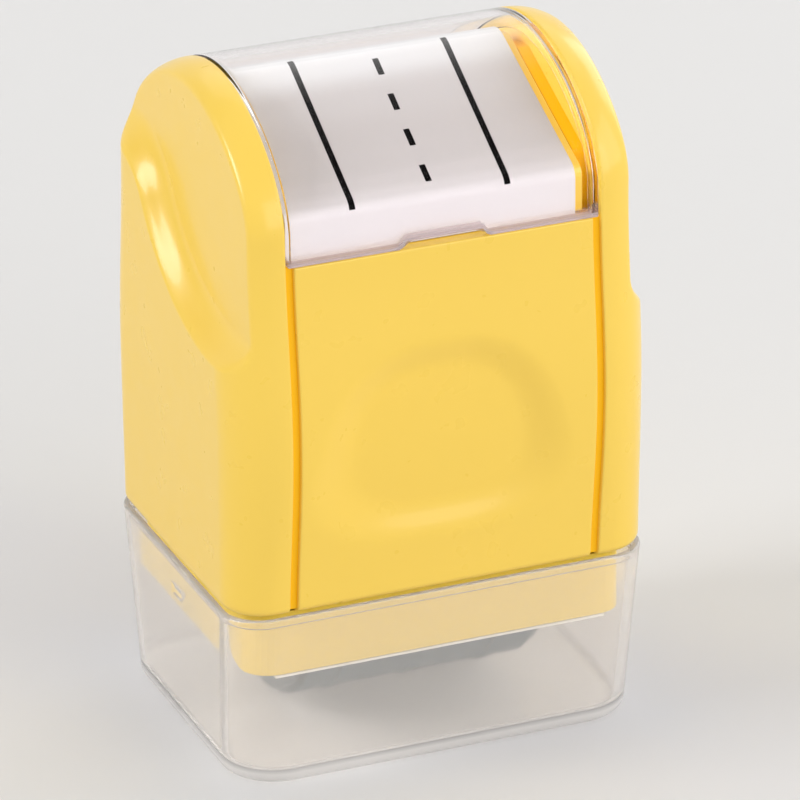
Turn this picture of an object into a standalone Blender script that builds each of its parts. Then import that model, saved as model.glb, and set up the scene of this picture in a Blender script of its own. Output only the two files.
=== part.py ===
"""Handwriting line roller stamp, standing on its protective cap.

Metres, +Z up. The origin is the centre of the cap's flat foot. X runs across the stamp, along the roller's
axle, and the front panel with the thumb dimple faces -Y. The sizes chain outwards from the roller: the
frame fits round the roller, the case fits round the frame, and the cap fits round the frame's neck.
"""
import math

import bmesh
import bpy
from mathutils import Matrix, Vector

# General clearances
SEAT_GAP = 0.0003
CUT_OVERRUN = 0.002

# Roller
PRINT_RADIUS = 0.0141
RIDGE_HEIGHT = 0.0004
RIDGE_WIDTH = 0.0009
RIDGE_DRAFT = 0.0001
SOLID_LINE_OFFSET = 0.0095
DIE_WALL = 0.0010
DIE_END_INSET = 0.0003
FOAM_WALL = 0.0047
SPIGOT_RADIUS = 0.0050
ROLLER_HALF_LENGTH = 0.0155
FLANGE_THICKNESS = 0.0010
FLANGE_INSET = 0.0007
DASH_COUNT = 8
DASH_STEPS = 8
DASH_INK_STEPS = 5

# Axle, bushes and clips
AXLE_RADIUS = 0.0012
AXLE_END = 0.0006
AXLE_CHAMFER = 0.0003
RUNNING_GAP = 0.0003
BUSH_WALL = 0.0005
BUSH_COLLAR_WIDTH = 0.0007
BUSH_COLLAR_THICKNESS = 0.0006
CLIP_WIDTH = 0.0011
CLIP_THICKNESS = 0.0005
CLIP_GROOVE_DEPTH = 0.0005
CLIP_MOUTH_HALF_ANGLE = math.radians(35.0)
AXLE_ROOM_GAP = 0.0004

# Frame: neck, side plates, shelf and top beam
PLATE_RUNNING_GAP = 0.0004
PLATE_THICKNESS = 0.0016
PLATE_HALF_DEPTH = 0.0146
PLATE_TOP_DROP = 0.0016
PLATE_FOOT_WALL = 0.0009
NECK_ROLLER_GAP = 0.0023
NECK_WALL = 0.0016
NECK_DEPTH = 0.0076
NECK_CORNER = 0.0034
WEB_THICKNESS = 0.0012
WEB_HOLE_GAP = 0.0009
SHELF_ABOVE_ROLLER = 0.0017
SHELF_THICKNESS = 0.0016
BEAM_HALF_DEPTH = 0.0050
BEAM_THICKNESS = 0.0045
PILOT_GAP = 0.0003

# Cap
CAP_WALL = 0.0012
CAP_FLOOR = 0.0013
CAP_ROLLER_GAP = 0.0018
CAP_NECK_GAP_X = 0.0015
CAP_NECK_GAP_Y = 0.0007
CAP_HEIGHT = 0.0216
CAP_TAPER = 0.0009
CAP_RIM_CORNER = 0.0050
CAP_FOOT_CORNER = 0.0068
CAP_FOOT_ROUND = 0.0013
CAP_INNER_ROUND = 0.0010
CAP_RIM_STEP = 0.0004
CAP_RIM_STEP_DROP = 0.0012
CAP_LIP_ROUND = 0.0003
SNAP_RADIUS = 0.0007
SNAP_HALF_LENGTH = 0.0016
SNAP_DROP = 0.0043

# Case shared by the side covers, the panels and the window
CASE_RIM_STEP_X = 0.0002
CASE_RIM_STEP_Y = 0.0003
CHEEK_WIDTH = 0.00675
GROOVE_WIDTH = 0.00095
PANEL_PLATE_STEP = 0.0006
WALL_HEIGHT = 0.0457
ARCH_RISE = 0.01368
ARCH_FLAT_SHARE = 0.028
BULGE_DEPTH = 0.00165
BULGE_HEIGHT = 0.0211
BULGE_HALF_SPAN = 0.0240
EDGE_ROUND_FOOT = 0.0049
EDGE_ROUND = 0.0064
FOOT_ROUND = 0.0010

# Side covers
COVER_WALL = 0.0018
COVER_INNER_WALL = 0.0012
COVER_LIP_THICKNESS = 0.0009
COVER_LIP_REACH = 0.0017
COVER_PIN_RADIUS = 0.0012
COVER_BOSS_RADIUS = 0.0024
COVER_PIN_LENGTH = 0.0014
COVER_PIN_HALF_SPREAD = 0.0100
COVER_PIN_LOW_HEIGHT = 0.0085
COVER_PIN_HIGH_HEIGHT = 0.0370

# Scalloped recess in each side cover, seen from the side
RECESS_DEPTH = 0.0027
RECESS_RAMP = 0.0033
RECESS_CENTRE_Y = -0.0140
RECESS_CENTRE_RISE = 0.0084
RECESS_HALF_DEPTH = 0.0255
RECESS_HALF_HEIGHT = 0.0240
RECESS_SWEEP = math.radians(58.0)
RECESS_FLARE_RADIUS = 0.0094

# Panels
PANEL_WALL = 0.0018
PANEL_TOP_GAP = 0.0003
DIMPLE_DEPTH = 0.0014
DIMPLE_HALF_WIDTH = 0.0142
DIMPLE_HALF_HEIGHT = 0.0114
DIMPLE_RISE = 0.0195
DIMPLE_TAPER_SHARE = 0.217
DIMPLE_POWER = 2.7
DIMPLE_SOFT_SHARE = 0.30

# Window cover
WINDOW_SKIRT = 0.00315
WINDOW_WALL = 0.0012
WINDOW_FLANGE = 0.0009
WINDOW_FLANGE_DEPTH = 0.0036
WINDOW_SIDE_GAP = 0.0003
NOTCH_HALF_WIDTH = 0.0052
NOTCH_HEIGHT = 0.0009
NOTCH_SLANT = 0.0005

# Label deck and label
DECK_WALL = 0.0016
DECK_FLANGE_GAP = 0.00035
DECK_SKIRT_GAP = 0.0009
DECK_BEND_RISE = 0.0020
DECK_RIDGE_RISE = 0.0112
DECK_RIDGE_Y = 0.0040
DECK_BEND_ROUND = 0.0012
DECK_RIDGE_ROUND = 0.0035
LABEL_THICKNESS = 0.0003
LABEL_SIDE_MARGIN = 0.0002
LABEL_FOOT_GAP = 0.0003

# Deck screws
SCREW_SPREAD = 0.0120
SCREW_HEAD_RADIUS = 0.0025
SCREW_HEAD_HEIGHT = 0.0016
SCREW_SHANK_RADIUS = 0.0011
SCREW_THREAD_LENGTH = 0.0036
SCREW_SOCKET_RADIUS = 0.0011
SCREW_SOCKET_DEPTH = 0.0009
SCREW_POCKET_GAP = 0.0004
SCREW_POCKET_DEPTH = 0.0035
SCREW_BOSS_WALL = 0.0011

# Ink supply
RESERVOIR_HALF_WIDTH = 0.0125
RESERVOIR_HALF_DEPTH = 0.0090
RESERVOIR_WALL = 0.0012
RESERVOIR_BEAM_GAP = 0.0010
FILLER_RADIUS = 0.0030
FILLER_BORE = 0.0020
FILLER_DROP = 0.0032
PAD_HALF_WIDTH = 0.0105
PAD_HALF_DEPTH = 0.0055
PAD_STAND = 0.0004
SPONGE_TOP_GAP = 0.0030
PLUG_HEAD_RADIUS = 0.0036
PLUG_HEAD_HEIGHT = 0.0009
PLUG_STEM_LENGTH = 0.0060
PLUG_HOLE_GAP = 0.0004

# Facet counts
ROLLER_SEGMENTS = DASH_COUNT * DASH_STEPS
SMALL_SEGMENTS = 20
CORNER_SEGMENTS = 8
EDGE_SEGMENTS = 6
WALL_ROWS = 12
ARCH_ROWS = 24
RECESS_POINTS = 14
PANEL_COLUMNS = 22
PANEL_ROWS = 26
ROUND_SEGMENTS = 3

# Places worked out from the roller outwards
ROLLER_Z = CAP_FLOOR + CAP_ROLLER_GAP + PRINT_RADIUS
PLATE_INNER_X = ROLLER_HALF_LENGTH + PLATE_RUNNING_GAP
PLATE_OUTER_X = PLATE_INNER_X + PLATE_THICKNESS
PANEL_HALF_WIDTH = PLATE_OUTER_X + PANEL_PLATE_STEP
COVER_EDGE_X = PANEL_HALF_WIDTH + GROOVE_WIDTH
CASE_HALF_WIDTH = COVER_EDGE_X + CHEEK_WIDTH
CAP_HALF_WIDTH = CASE_HALF_WIDTH + CASE_RIM_STEP_X
NECK_HALF_WIDTH = CAP_HALF_WIDTH - CAP_WALL - CAP_NECK_GAP_X
NECK_HALF_DEPTH = PRINT_RADIUS + NECK_ROLLER_GAP + NECK_WALL
CAP_HALF_DEPTH = NECK_HALF_DEPTH + CAP_NECK_GAP_Y + CAP_WALL
CASE_HALF_DEPTH = CAP_HALF_DEPTH - CASE_RIM_STEP_Y
CASE_Z = CAP_HEIGHT + SEAT_GAP
ARCH_Z = CASE_Z + WALL_HEIGHT
WINDOW_Z = ARCH_Z - WINDOW_SKIRT
NECK_Z = CAP_HEIGHT - NECK_DEPTH
NECK_INNER_HALF_DEPTH = NECK_HALF_DEPTH - NECK_WALL
PANEL_TOP_Z = WINDOW_Z - PANEL_TOP_GAP
WINDOW_HALF_WIDTH = COVER_EDGE_X - WINDOW_SIDE_GAP
FLANGE_INNER_X = WINDOW_HALF_WIDTH - WINDOW_FLANGE
DECK_HALF_WIDTH = FLANGE_INNER_X - DECK_FLANGE_GAP
LABEL_HALF_WIDTH = DECK_HALF_WIDTH - LABEL_SIDE_MARGIN
DECK_SKIRT_Y = CASE_HALF_DEPTH - WINDOW_WALL - DECK_SKIRT_GAP
DECK_Z = WINDOW_Z + SEAT_GAP
PLATE_TOP_Z = ARCH_Z - PLATE_TOP_DROP
BEAM_Z = PLATE_TOP_Z - BEAM_THICKNESS
SHELF_Z = ROLLER_Z + PRINT_RADIUS + SHELF_ABOVE_ROLLER
SHELF_TOP_Z = SHELF_Z + SHELF_THICKNESS
RESERVOIR_Z = SHELF_TOP_Z + SEAT_GAP
RESERVOIR_TOP_Z = BEAM_Z - RESERVOIR_BEAM_GAP
BEND_Z = ARCH_Z + DECK_BEND_RISE
RIDGE_Z = ARCH_Z + DECK_RIDGE_RISE
ROOF_SLOPE = (RIDGE_Z - BEND_Z) / (DECK_RIDGE_Y + DECK_SKIRT_Y)
ROOF_MIDDLE_Z = BEND_Z + ROOF_SLOPE * DECK_SKIRT_Y
FILLER_TOP_Z = ROOF_MIDDLE_Z - FILLER_DROP
POCKET_Z = ROOF_MIDDLE_Z - SCREW_POCKET_DEPTH
RECESS_LOW_Z = ARCH_Z + RECESS_CENTRE_RISE - RECESS_HALF_HEIGHT
BUSH_RADIUS = AXLE_RADIUS + RUNNING_GAP + BUSH_WALL
BUSH_COLLAR_RADIUS = BUSH_RADIUS + BUSH_COLLAR_WIDTH
BUSH_COLLAR_X = PLATE_OUTER_X + SEAT_GAP
PLATE_Z = ROLLER_Z - BUSH_RADIUS - SEAT_GAP - PLATE_FOOT_WALL
CLIP_X = BUSH_COLLAR_X + BUSH_COLLAR_THICKNESS + RUNNING_GAP
GROOVE_END_X = CLIP_X + CLIP_THICKNESS + RUNNING_GAP
AXLE_HALF_LENGTH = GROOVE_END_X + AXLE_END
DIE_RADIUS = PRINT_RADIUS - RIDGE_HEIGHT
DIE_BORE = DIE_RADIUS - DIE_WALL
FOAM_RADIUS = DIE_BORE - SEAT_GAP
CORE_RADIUS = FOAM_RADIUS - FOAM_WALL - SEAT_GAP
DIE_HALF_LENGTH = ROLLER_HALF_LENGTH - FLANGE_THICKNESS - DIE_END_INSET


def clear_scene():
    """Remove every object, so that the script can run again in an open file."""
    for item in list(bpy.data.objects):
        bpy.data.objects.remove(item, do_unlink=True)


def make_material(name, colour, roughness, metallic=0.0, transmission=0.0):
    """A Principled material from a linear colour and its surface values."""
    material = bpy.data.materials.new(name)
    material.use_nodes = True
    shader = material.node_tree.nodes["Principled BSDF"]
    shader.inputs["Base Color"].default_value = (*colour, 1.0)
    shader.inputs["Roughness"].default_value = roughness
    shader.inputs["Metallic"].default_value = metallic
    shader.inputs["Transmission Weight"].default_value = transmission
    return material


def add_object(name, mesh_data, material, origin=Vector()):
    """Turn a bmesh in world coordinates into an object whose origin is at the given point."""
    bmesh.ops.recalc_face_normals(mesh_data, faces=mesh_data.faces)
    bmesh.ops.translate(mesh_data, verts=mesh_data.verts, vec=-origin)
    mesh = bpy.data.meshes.new(name)
    mesh_data.to_mesh(mesh)
    mesh_data.free()
    mesh.shade_smooth()
    mesh.set_sharp_from_angle(angle=math.radians(32.0))
    mesh.materials.append(material)
    item = bpy.data.objects.new(name, mesh)
    item.location = origin
    bpy.context.scene.collection.objects.link(item)
    return item


def add_cutter(name, mesh_data, material):
    """A hidden tool shape for a Boolean modifier."""
    item = add_object(name, mesh_data, material)
    item.hide_render = True
    item.display_type = "WIRE"
    return item


def combine(target, tool, operation):
    """Add an exact Boolean modifier to the target."""
    modifier = target.modifiers.new(tool.name, "BOOLEAN")
    modifier.object = tool
    modifier.operation = operation
    modifier.solver = "EXACT"


def loft(rings, capped=True):
    """Join equal rings of points by quads and close both ends with flat faces."""
    mesh_data = bmesh.new()
    layers = [[mesh_data.verts.new(point) for point in ring] for ring in rings]
    count = len(layers[0])
    for lower, upper in zip(layers, layers[1:]):
        for index in range(count):
            after = (index + 1) % count
            mesh_data.faces.new((lower[index], lower[after], upper[after], upper[index]))
    if capped:
        mesh_data.faces.new(layers[0])
        mesh_data.faces.new(layers[-1])
    return mesh_data


def ring_tube(rings):
    """Join closed rings into a torus-like solid whose last ring meets its first."""
    return loft(rings + [rings[0]], capped=False)


def joined(shapes):
    """Several separate shapes as one, so that a single cut can use them all."""
    mesh_data = bmesh.new()
    for shape in shapes:
        mesh = bpy.data.meshes.new("joined_shape")
        shape.to_mesh(mesh)
        shape.free()
        mesh_data.from_mesh(mesh)
        bpy.data.meshes.remove(mesh)
    return mesh_data


def box(low, high):
    """A box between two corners."""
    mesh_data = bmesh.new()
    centre = (Vector(low) + Vector(high)) / 2
    size = Vector(high) - Vector(low)
    placing = Matrix.Translation(centre) @ Matrix.Diagonal((*size, 1.0))
    bmesh.ops.create_cube(mesh_data, size=1.0, matrix=placing)
    return mesh_data


def turned(outline, axis, centre, segments):
    """Turn an outline of (place along the axis, radius) points once round the X or Z axis.

    Points of zero radius are poles and are shared by all the segments.
    """
    mesh_data = bmesh.new()
    columns = []
    for along, radius in outline:
        if radius == 0:
            columns.append([mesh_data.verts.new(turned_point(along, 0, 0, axis, centre))])
        else:
            angles = [2 * math.pi * step / segments for step in range(segments)]
            columns.append([mesh_data.verts.new(turned_point(along, radius, angle, axis, centre))
                            for angle in angles])
    closed = len(columns[0]) > 1 and len(columns[-1]) > 1
    pairs = list(zip(columns, columns[1:]))
    if closed:
        pairs.append((columns[-1], columns[0]))
    for first, second in pairs:
        for step in range(segments):
            after = (step + 1) % segments
            if len(first) == 1:
                mesh_data.faces.new((first[0], second[after], second[step]))
            elif len(second) == 1:
                mesh_data.faces.new((first[step], first[after], second[0]))
            else:
                mesh_data.faces.new((first[step], first[after], second[after], second[step]))
    return mesh_data


def turned_point(along, radius, angle, axis, centre):
    """One point of a turned shape."""
    across = radius * math.cos(angle)
    up = radius * math.sin(angle)
    if axis == "X":
        return Vector((along, across, up)) + centre
    return Vector((across, up, along)) + centre


def prism(outline, low_x, high_x):
    """Extrude an outline of (y, z) points along X."""
    return loft([[(x, y, z) for y, z in outline] for x in (low_x, high_x)])


def rounded_rectangle(half_width, half_depth, corner, height):
    """A closed outline in a level plane, with four round corners."""
    points = []
    for quarter in range(4):
        start = quarter * math.pi / 2
        side_x = 1 if quarter in (0, 3) else -1
        side_y = 1 if quarter in (0, 1) else -1
        for step in range(CORNER_SEGMENTS + 1):
            angle = start + step / CORNER_SEGMENTS * math.pi / 2
            x = side_x * (half_width - corner) + corner * math.cos(angle)
            y = side_y * (half_depth - corner) + corner * math.sin(angle)
            points.append((x, y, height))
    return points


def bulge_share(z):
    """How far the barrel shape has swelled at a height: 1 at its widest, 0 past its ends."""
    offset = (z - CASE_Z - BULGE_HEIGHT) / BULGE_HALF_SPAN
    if abs(offset) >= 1:
        return 0.0
    return math.cos(offset * math.pi / 2) ** 2


def wall_depth(z):
    """Half depth of the case's front and back walls at a height."""
    return CASE_HALF_DEPTH + BULGE_DEPTH * bulge_share(z)


def edge_round(z):
    """Radius of the side covers' outer edge: small at the foot, full from the widest place up."""
    if z >= CASE_Z + BULGE_HEIGHT:
        return EDGE_ROUND
    return EDGE_ROUND_FOOT + (EDGE_ROUND - EDGE_ROUND_FOOT) * bulge_share(z)


def arch_point(angle):
    """A point of the arch: an ellipse drawn in a little on its diagonals."""
    share = 1 - ARCH_FLAT_SHARE * math.sin(2 * angle) ** 2
    return (-CASE_HALF_DEPTH * share * math.cos(angle), ARCH_Z + ARCH_RISE * share * math.sin(angle))


def case_profile(low, wall_rows, arch_rows):
    """The case's side outline from the front foot over the arch to the back foot, as (y, z) points."""
    front = []
    for row in range(wall_rows):
        z = low + (ARCH_Z - low) * row / wall_rows
        front.append((-wall_depth(z), z))
    arch = [arch_point(math.pi * row / arch_rows) for row in range(arch_rows + 1)]
    back = [(-y, z) for y, z in reversed(front)]
    return front + arch + back


def inward_normals(outline):
    """Unit normals of an open outline, pointing to its inside."""
    normals = []
    last = len(outline) - 1
    for index in range(len(outline)):
        y0, z0 = outline[max(index - 1, 0)]
        y1, z1 = outline[min(index + 1, last)]
        length = math.hypot(y1 - y0, z1 - z0)
        normals.append(((z1 - z0) / length, -(y1 - y0) / length))
    normals[0] = (1.0, 0.0)
    normals[-1] = (-1.0, 0.0)
    return normals


def inset_outline(outline, distance):
    """Move an open outline inwards by one distance."""
    return [(y + ny * distance, z + nz * distance)
            for (y, z), (ny, nz) in zip(outline, inward_normals(outline))]


def round_corners(corners, radii):
    """Replace inner corners of a polyline by arcs."""
    points = [corners[0]]
    for index in range(1, len(corners) - 1):
        corner = Vector(corners[index])
        before = (Vector(corners[index - 1]) - corner).normalized()
        after = (Vector(corners[index + 1]) - corner).normalized()
        half = before.angle(after) / 2
        radius = radii[index - 1]
        reach = radius / math.tan(half)
        middle = corner + (before + after).normalized() * (radius / math.sin(half))
        start = corner + before * reach - middle
        end = corner + after * reach - middle
        for step in range(ROUND_SEGMENTS + 1):
            spoke = start.lerp(end, step / ROUND_SEGMENTS).normalized() * radius
            points.append(tuple(middle + spoke))
    points.append(corners[-1])
    return points


def mirror_x(mesh_data):
    """Mirror a bmesh to the other side of the middle plane."""
    bmesh.ops.scale(mesh_data, verts=mesh_data.verts, vec=(-1.0, 1.0, 1.0))
    return mesh_data


def offset_corners(corners, distance):
    """Move a polyline of corners inwards by one distance, keeping sharp mitred corners."""
    normals = []
    for (y0, z0), (y1, z1) in zip(corners, corners[1:]):
        length = math.hypot(y1 - y0, z1 - z0)
        normals.append(((z1 - z0) / length, -(y1 - y0) / length))
    moved = []
    for index, (y, z) in enumerate(corners):
        before = normals[max(index - 1, 0)]
        after = normals[min(index, len(normals) - 1)]
        mitre = distance / (1 + before[0] * after[0] + before[1] * after[1])
        moved.append((y + (before[0] + after[0]) * mitre, z + (before[1] + after[1]) * mitre))
    return moved


def roof_outline(foot_z, distance):
    """The roof-shaped outline of the deck, moved inwards by a distance, as (y, z) points."""
    corners = [(-DECK_SKIRT_Y, foot_z), (-DECK_SKIRT_Y, BEND_Z), (DECK_RIDGE_Y, RIDGE_Z),
               (DECK_SKIRT_Y, BEND_Z), (DECK_SKIRT_Y, foot_z)]
    radii = [DECK_BEND_ROUND, DECK_RIDGE_ROUND, DECK_BEND_ROUND]
    least = DECK_BEND_ROUND / 2
    inset_radii = [max(radius - distance, least) for radius in radii]
    return round_corners(offset_corners(corners, distance), inset_radii)


def build_cap(frosted):
    """Frosted cap: a tapered tray with a rounded foot, a stepped rim and two snap bumps inside."""
    def ring(z, inset):
        share = 1 - z / CAP_HEIGHT
        taper = CAP_TAPER * share + inset
        corner = CAP_RIM_CORNER + (CAP_FOOT_CORNER - CAP_RIM_CORNER) * share - inset
        return rounded_rectangle(CAP_HALF_WIDTH - taper, CAP_HALF_DEPTH - taper, corner, z)

    quarter_turns = [step / ROUND_SEGMENTS * math.pi / 2 for step in range(ROUND_SEGMENTS + 1)]
    ledge_z = CAP_HEIGHT - CAP_RIM_STEP_DROP
    rings = [ring(CAP_FOOT_ROUND * (1 - math.cos(turn)), CAP_FOOT_ROUND * (1 - math.sin(turn)))
             for turn in quarter_turns]
    rings.append(ring(CAP_HEIGHT - CAP_LIP_ROUND, 0))
    rings.append(ring(CAP_HEIGHT, CAP_LIP_ROUND))
    rings.append(ring(CAP_HEIGHT, CAP_WALL - CAP_RIM_STEP))
    rings.append(ring(ledge_z, CAP_WALL - CAP_RIM_STEP))
    rings.append(ring(ledge_z, CAP_WALL))
    rings += [ring(CAP_FLOOR + CAP_INNER_ROUND * (1 - math.cos(turn)),
                   CAP_WALL + CAP_INNER_ROUND * (1 - math.sin(turn)))
              for turn in reversed(quarter_turns)]
    cap = add_object("protective_cap", loft(rings), frosted)

    snap_z = CAP_HEIGHT - SNAP_DROP
    wall_x = CAP_HALF_WIDTH - CAP_TAPER * SNAP_DROP / CAP_HEIGHT - CAP_WALL
    for side in (-1, 1):
        outline = [(-SNAP_HALF_LENGTH, 0), (-SNAP_HALF_LENGTH, SNAP_RADIUS),
                   (SNAP_HALF_LENGTH, SNAP_RADIUS), (SNAP_HALF_LENGTH, 0)]
        bump = turned(outline, "X", Vector(), SMALL_SEGMENTS)
        bmesh.ops.rotate(bump, verts=bump.verts, matrix=Matrix.Rotation(math.pi / 2, 3, "Z"))
        bmesh.ops.translate(bump, verts=bump.verts, vec=(side * wall_x, 0, snap_z))
        combine(cap, add_cutter(f"snap_bump_{side}", bump, frosted), "UNION")


def foot_rows():
    """Heights and insets of the rounded foot shared by the side covers and the panels."""
    turns = [step / ROUND_SEGMENTS * math.pi / 2 for step in range(ROUND_SEGMENTS)]
    return [(CASE_Z + FOOT_ROUND * (1 - math.cos(turn)), FOOT_ROUND * (1 - math.sin(turn))) for turn in turns]


def cheek_row(mesh_data, place, normal, inset):
    """One row across the right cheek's edge: flat from the groove, then round to the outer face."""
    y, z = place
    full = edge_round(z)
    radius = full - inset
    row = [mesh_data.verts.new((COVER_EDGE_X, y + normal[0] * inset, z + normal[1] * inset))]
    for step in range(EDGE_SEGMENTS + 1):
        turn = step / EDGE_SEGMENTS * math.pi / 2
        depth = full - radius * math.cos(turn)
        x = CASE_HALF_WIDTH - full + radius * math.sin(turn)
        row.append(mesh_data.verts.new((x, y + normal[0] * depth, z + normal[1] * depth)))
    return row


def cheek_solid():
    """The right side cover before it is hollowed: the case's outline with a large round outer edge."""
    outline = case_profile(CASE_Z + FOOT_ROUND, WALL_ROWS, ARCH_ROWS)
    mesh_data = bmesh.new()
    foot = foot_rows()
    front = [cheek_row(mesh_data, (-wall_depth(z), z), (1, 0), inset) for z, inset in foot]
    grid = [cheek_row(mesh_data, place, normal, 0) for place, normal in zip(outline, inward_normals(outline))]
    back = [cheek_row(mesh_data, (wall_depth(z), z), (-1, 0), inset) for z, inset in reversed(foot)]
    rows = front + grid + back
    for first, second in zip(rows, rows[1:]):
        for column in range(EDGE_SEGMENTS + 1):
            mesh_data.faces.new((first[column], first[column + 1], second[column + 1], second[column]))
    for index in range(len(foot)):
        low_front, high_front = rows[index][-1], rows[index + 1][-1]
        low_back, high_back = rows[-1 - index][-1], rows[-2 - index][-1]
        mesh_data.faces.new((low_front, high_front, high_back, low_back))
    mesh_data.faces.new([row[0] for row in rows])
    mesh_data.faces.new([row[-1] for row in grid])
    mesh_data.faces.new(rows[0] + rows[-1][::-1])
    return mesh_data


def recess_outline(distance):
    """The recess's lower edge seen from the side, moved into the recess by a distance, closed far above.

    It runs level from the front, climbs along part of an ellipse, flares over a smaller arc that bends
    the other way, and leaves level at the back.
    """
    centre_z = ARCH_Z + RECESS_CENTRE_RISE
    front = -CASE_HALF_DEPTH - BULGE_DEPTH - CUT_OVERRUN
    points = [(front, centre_z - RECESS_HALF_HEIGHT + distance)]
    for step in range(RECESS_POINTS + 1):
        turn = RECESS_SWEEP * step / RECESS_POINTS
        slope = math.atan2(RECESS_HALF_HEIGHT * math.sin(turn), RECESS_HALF_DEPTH * math.cos(turn))
        y = RECESS_CENTRE_Y + RECESS_HALF_DEPTH * math.sin(turn)
        z = centre_z - RECESS_HALF_HEIGHT * math.cos(turn)
        points.append((y - distance * math.sin(slope), z + distance * math.cos(slope)))
    flare_y = y + RECESS_FLARE_RADIUS * math.sin(slope)
    flare_z = z - RECESS_FLARE_RADIUS * math.cos(slope)
    radius = RECESS_FLARE_RADIUS + distance
    for step in range(1, RECESS_POINTS // 2 + 1):
        turn = slope * (1 - 2 * step / RECESS_POINTS)
        points.append((flare_y - radius * math.sin(turn), flare_z + radius * math.cos(turn)))
    top = ARCH_Z + ARCH_RISE + CUT_OVERRUN
    points.append((-front, flare_z + radius))
    points.append((-front, top))
    points.append((front, top))
    return points


def recess_cutter():
    """The scalloped recess of the right side cover, with a concave ramp down to its floor."""
    rings = [[(CASE_HALF_WIDTH + CUT_OVERRUN, y, z) for y, z in recess_outline(0)]]
    for step in range(EDGE_SEGMENTS + 1):
        turn = step / EDGE_SEGMENTS * math.pi / 2
        x = CASE_HALF_WIDTH - RECESS_DEPTH * math.sin(turn)
        rings.append([(x, y, z) for y, z in recess_outline(RECESS_RAMP * (1 - math.cos(turn)))])
    return loft(rings)


def cover_cavities():
    """Two hollows of the right side cover, open below: one along the whole arch and a wider low one."""
    inner_x = COVER_EDGE_X + COVER_INNER_WALL
    low_z = CASE_Z - CUT_OVERRUN
    outline = inset_outline(case_profile(CASE_Z, WALL_ROWS // 2, ARCH_ROWS // 2), COVER_WALL)
    outline = [(outline[0][0], low_z)] + outline + [(outline[-1][0], low_z)]
    high = prism(outline, inner_x, CASE_HALF_WIDTH - RECESS_DEPTH - COVER_WALL)
    half_depth = CASE_HALF_DEPTH - EDGE_ROUND
    low = box((inner_x, -half_depth, low_z),
              (CASE_HALF_WIDTH - COVER_WALL, half_depth, RECESS_LOW_Z - COVER_WALL))
    return high, low


def cover_lip(end):
    """The lip that backs a panel's edge, on the front (end -1) or the back (end 1) of the right cover."""
    inner_x = COVER_EDGE_X - COVER_LIP_REACH
    outer_x = COVER_EDGE_X + COVER_INNER_WALL / 2
    low_z = CASE_Z + FOOT_ROUND
    rings = []
    for row in range(WALL_ROWS + 1):
        z = low_z + (PANEL_TOP_Z - low_z) * row / WALL_ROWS
        near = end * (wall_depth(z) - PANEL_WALL - SEAT_GAP)
        far = near - end * COVER_LIP_THICKNESS
        rings.append([(inner_x, near, z), (outer_x, near, z), (outer_x, far, z), (inner_x, far, z)])
    return loft(rings)


def pin_places():
    """Where the side covers' pins enter the frame's side plates, as (y, z)."""
    low = CASE_Z + COVER_PIN_LOW_HEIGHT
    high = CASE_Z + COVER_PIN_HIGH_HEIGHT
    return [(-COVER_PIN_HALF_SPREAD, low), (COVER_PIN_HALF_SPREAD, low), (0, high)]


def cover_pin(y, z):
    """A boss with a locating pin, from the right cover's inner wall into the side plate."""
    shoulder_x = PLATE_OUTER_X + SEAT_GAP
    root_x = COVER_EDGE_X + COVER_INNER_WALL / 2
    outline = [(root_x, 0), (root_x, COVER_BOSS_RADIUS), (shoulder_x, COVER_BOSS_RADIUS),
               (shoulder_x, COVER_PIN_RADIUS), (PLATE_OUTER_X - COVER_PIN_LENGTH, COVER_PIN_RADIUS),
               (PLATE_OUTER_X - COVER_PIN_LENGTH, 0)]
    return turned(outline, "X", Vector((0, y, z)), SMALL_SEGMENTS)


def build_side_cover(name, side, yellow):
    """A thick cheek: hollow from below, with lips behind the panels and three pins into the frame."""
    def sided(mesh_data):
        return mirror_x(mesh_data) if side < 0 else mesh_data

    cover = add_object(name, sided(cheek_solid()), yellow)
    combine(cover, add_cutter(f"{name}_recess", sided(recess_cutter()), yellow), "DIFFERENCE")
    for index, cavity in enumerate(cover_cavities()):
        combine(cover, add_cutter(f"{name}_cavity_{index}", sided(cavity), yellow), "DIFFERENCE")
    for end in (-1, 1):
        combine(cover, add_cutter(f"{name}_lip_{end}", sided(cover_lip(end)), yellow), "UNION")
    for index, (y, z) in enumerate(pin_places()):
        combine(cover, add_cutter(f"{name}_pin_{index}", sided(cover_pin(y, z)), yellow), "UNION")
    combine(cover, add_cutter(f"{name}_axle_room", axle_room(side), yellow), "DIFFERENCE")


def dimple_depth(x, z):
    """Depth of the thumb dimple: a soft-edged rounded triangle with its narrow end up."""
    up = (z - CASE_Z - DIMPLE_RISE) / DIMPLE_HALF_HEIGHT
    across = x / (DIMPLE_HALF_WIDTH * (1 - DIMPLE_TAPER_SHARE * max(min(up, 1), -1)))
    reach = (abs(across) ** DIMPLE_POWER + abs(up) ** DIMPLE_POWER) ** (1 / DIMPLE_POWER)
    rise = min(max((1 - reach) / DIMPLE_SOFT_SHARE, 0), 1)
    return DIMPLE_DEPTH * rise * rise * (3 - 2 * rise)


def build_panel(name, end, yellow):
    """A front (end -1) or back (end 1) panel: a barrel-shaped wall with a dimple and a rounded foot."""
    start = CASE_Z + FOOT_ROUND
    rows = foot_rows()
    rows += [(start + (PANEL_TOP_Z - start) * row / PANEL_ROWS, 0) for row in range(PANEL_ROWS + 1)]
    across = [PANEL_HALF_WIDTH * (2 * column / PANEL_COLUMNS - 1) for column in range(PANEL_COLUMNS + 1)]
    rings = []
    for z, foot_inset in rows:
        outer = [(x, end * (wall_depth(z) - dimple_depth(x, z) - foot_inset), z) for x in across]
        inner = [(x, end * (wall_depth(z) - dimple_depth(x, z) - PANEL_WALL), z) for x in reversed(across)]
        rings.append(outer + inner)
    add_object(name, loft(rings), yellow)


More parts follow.
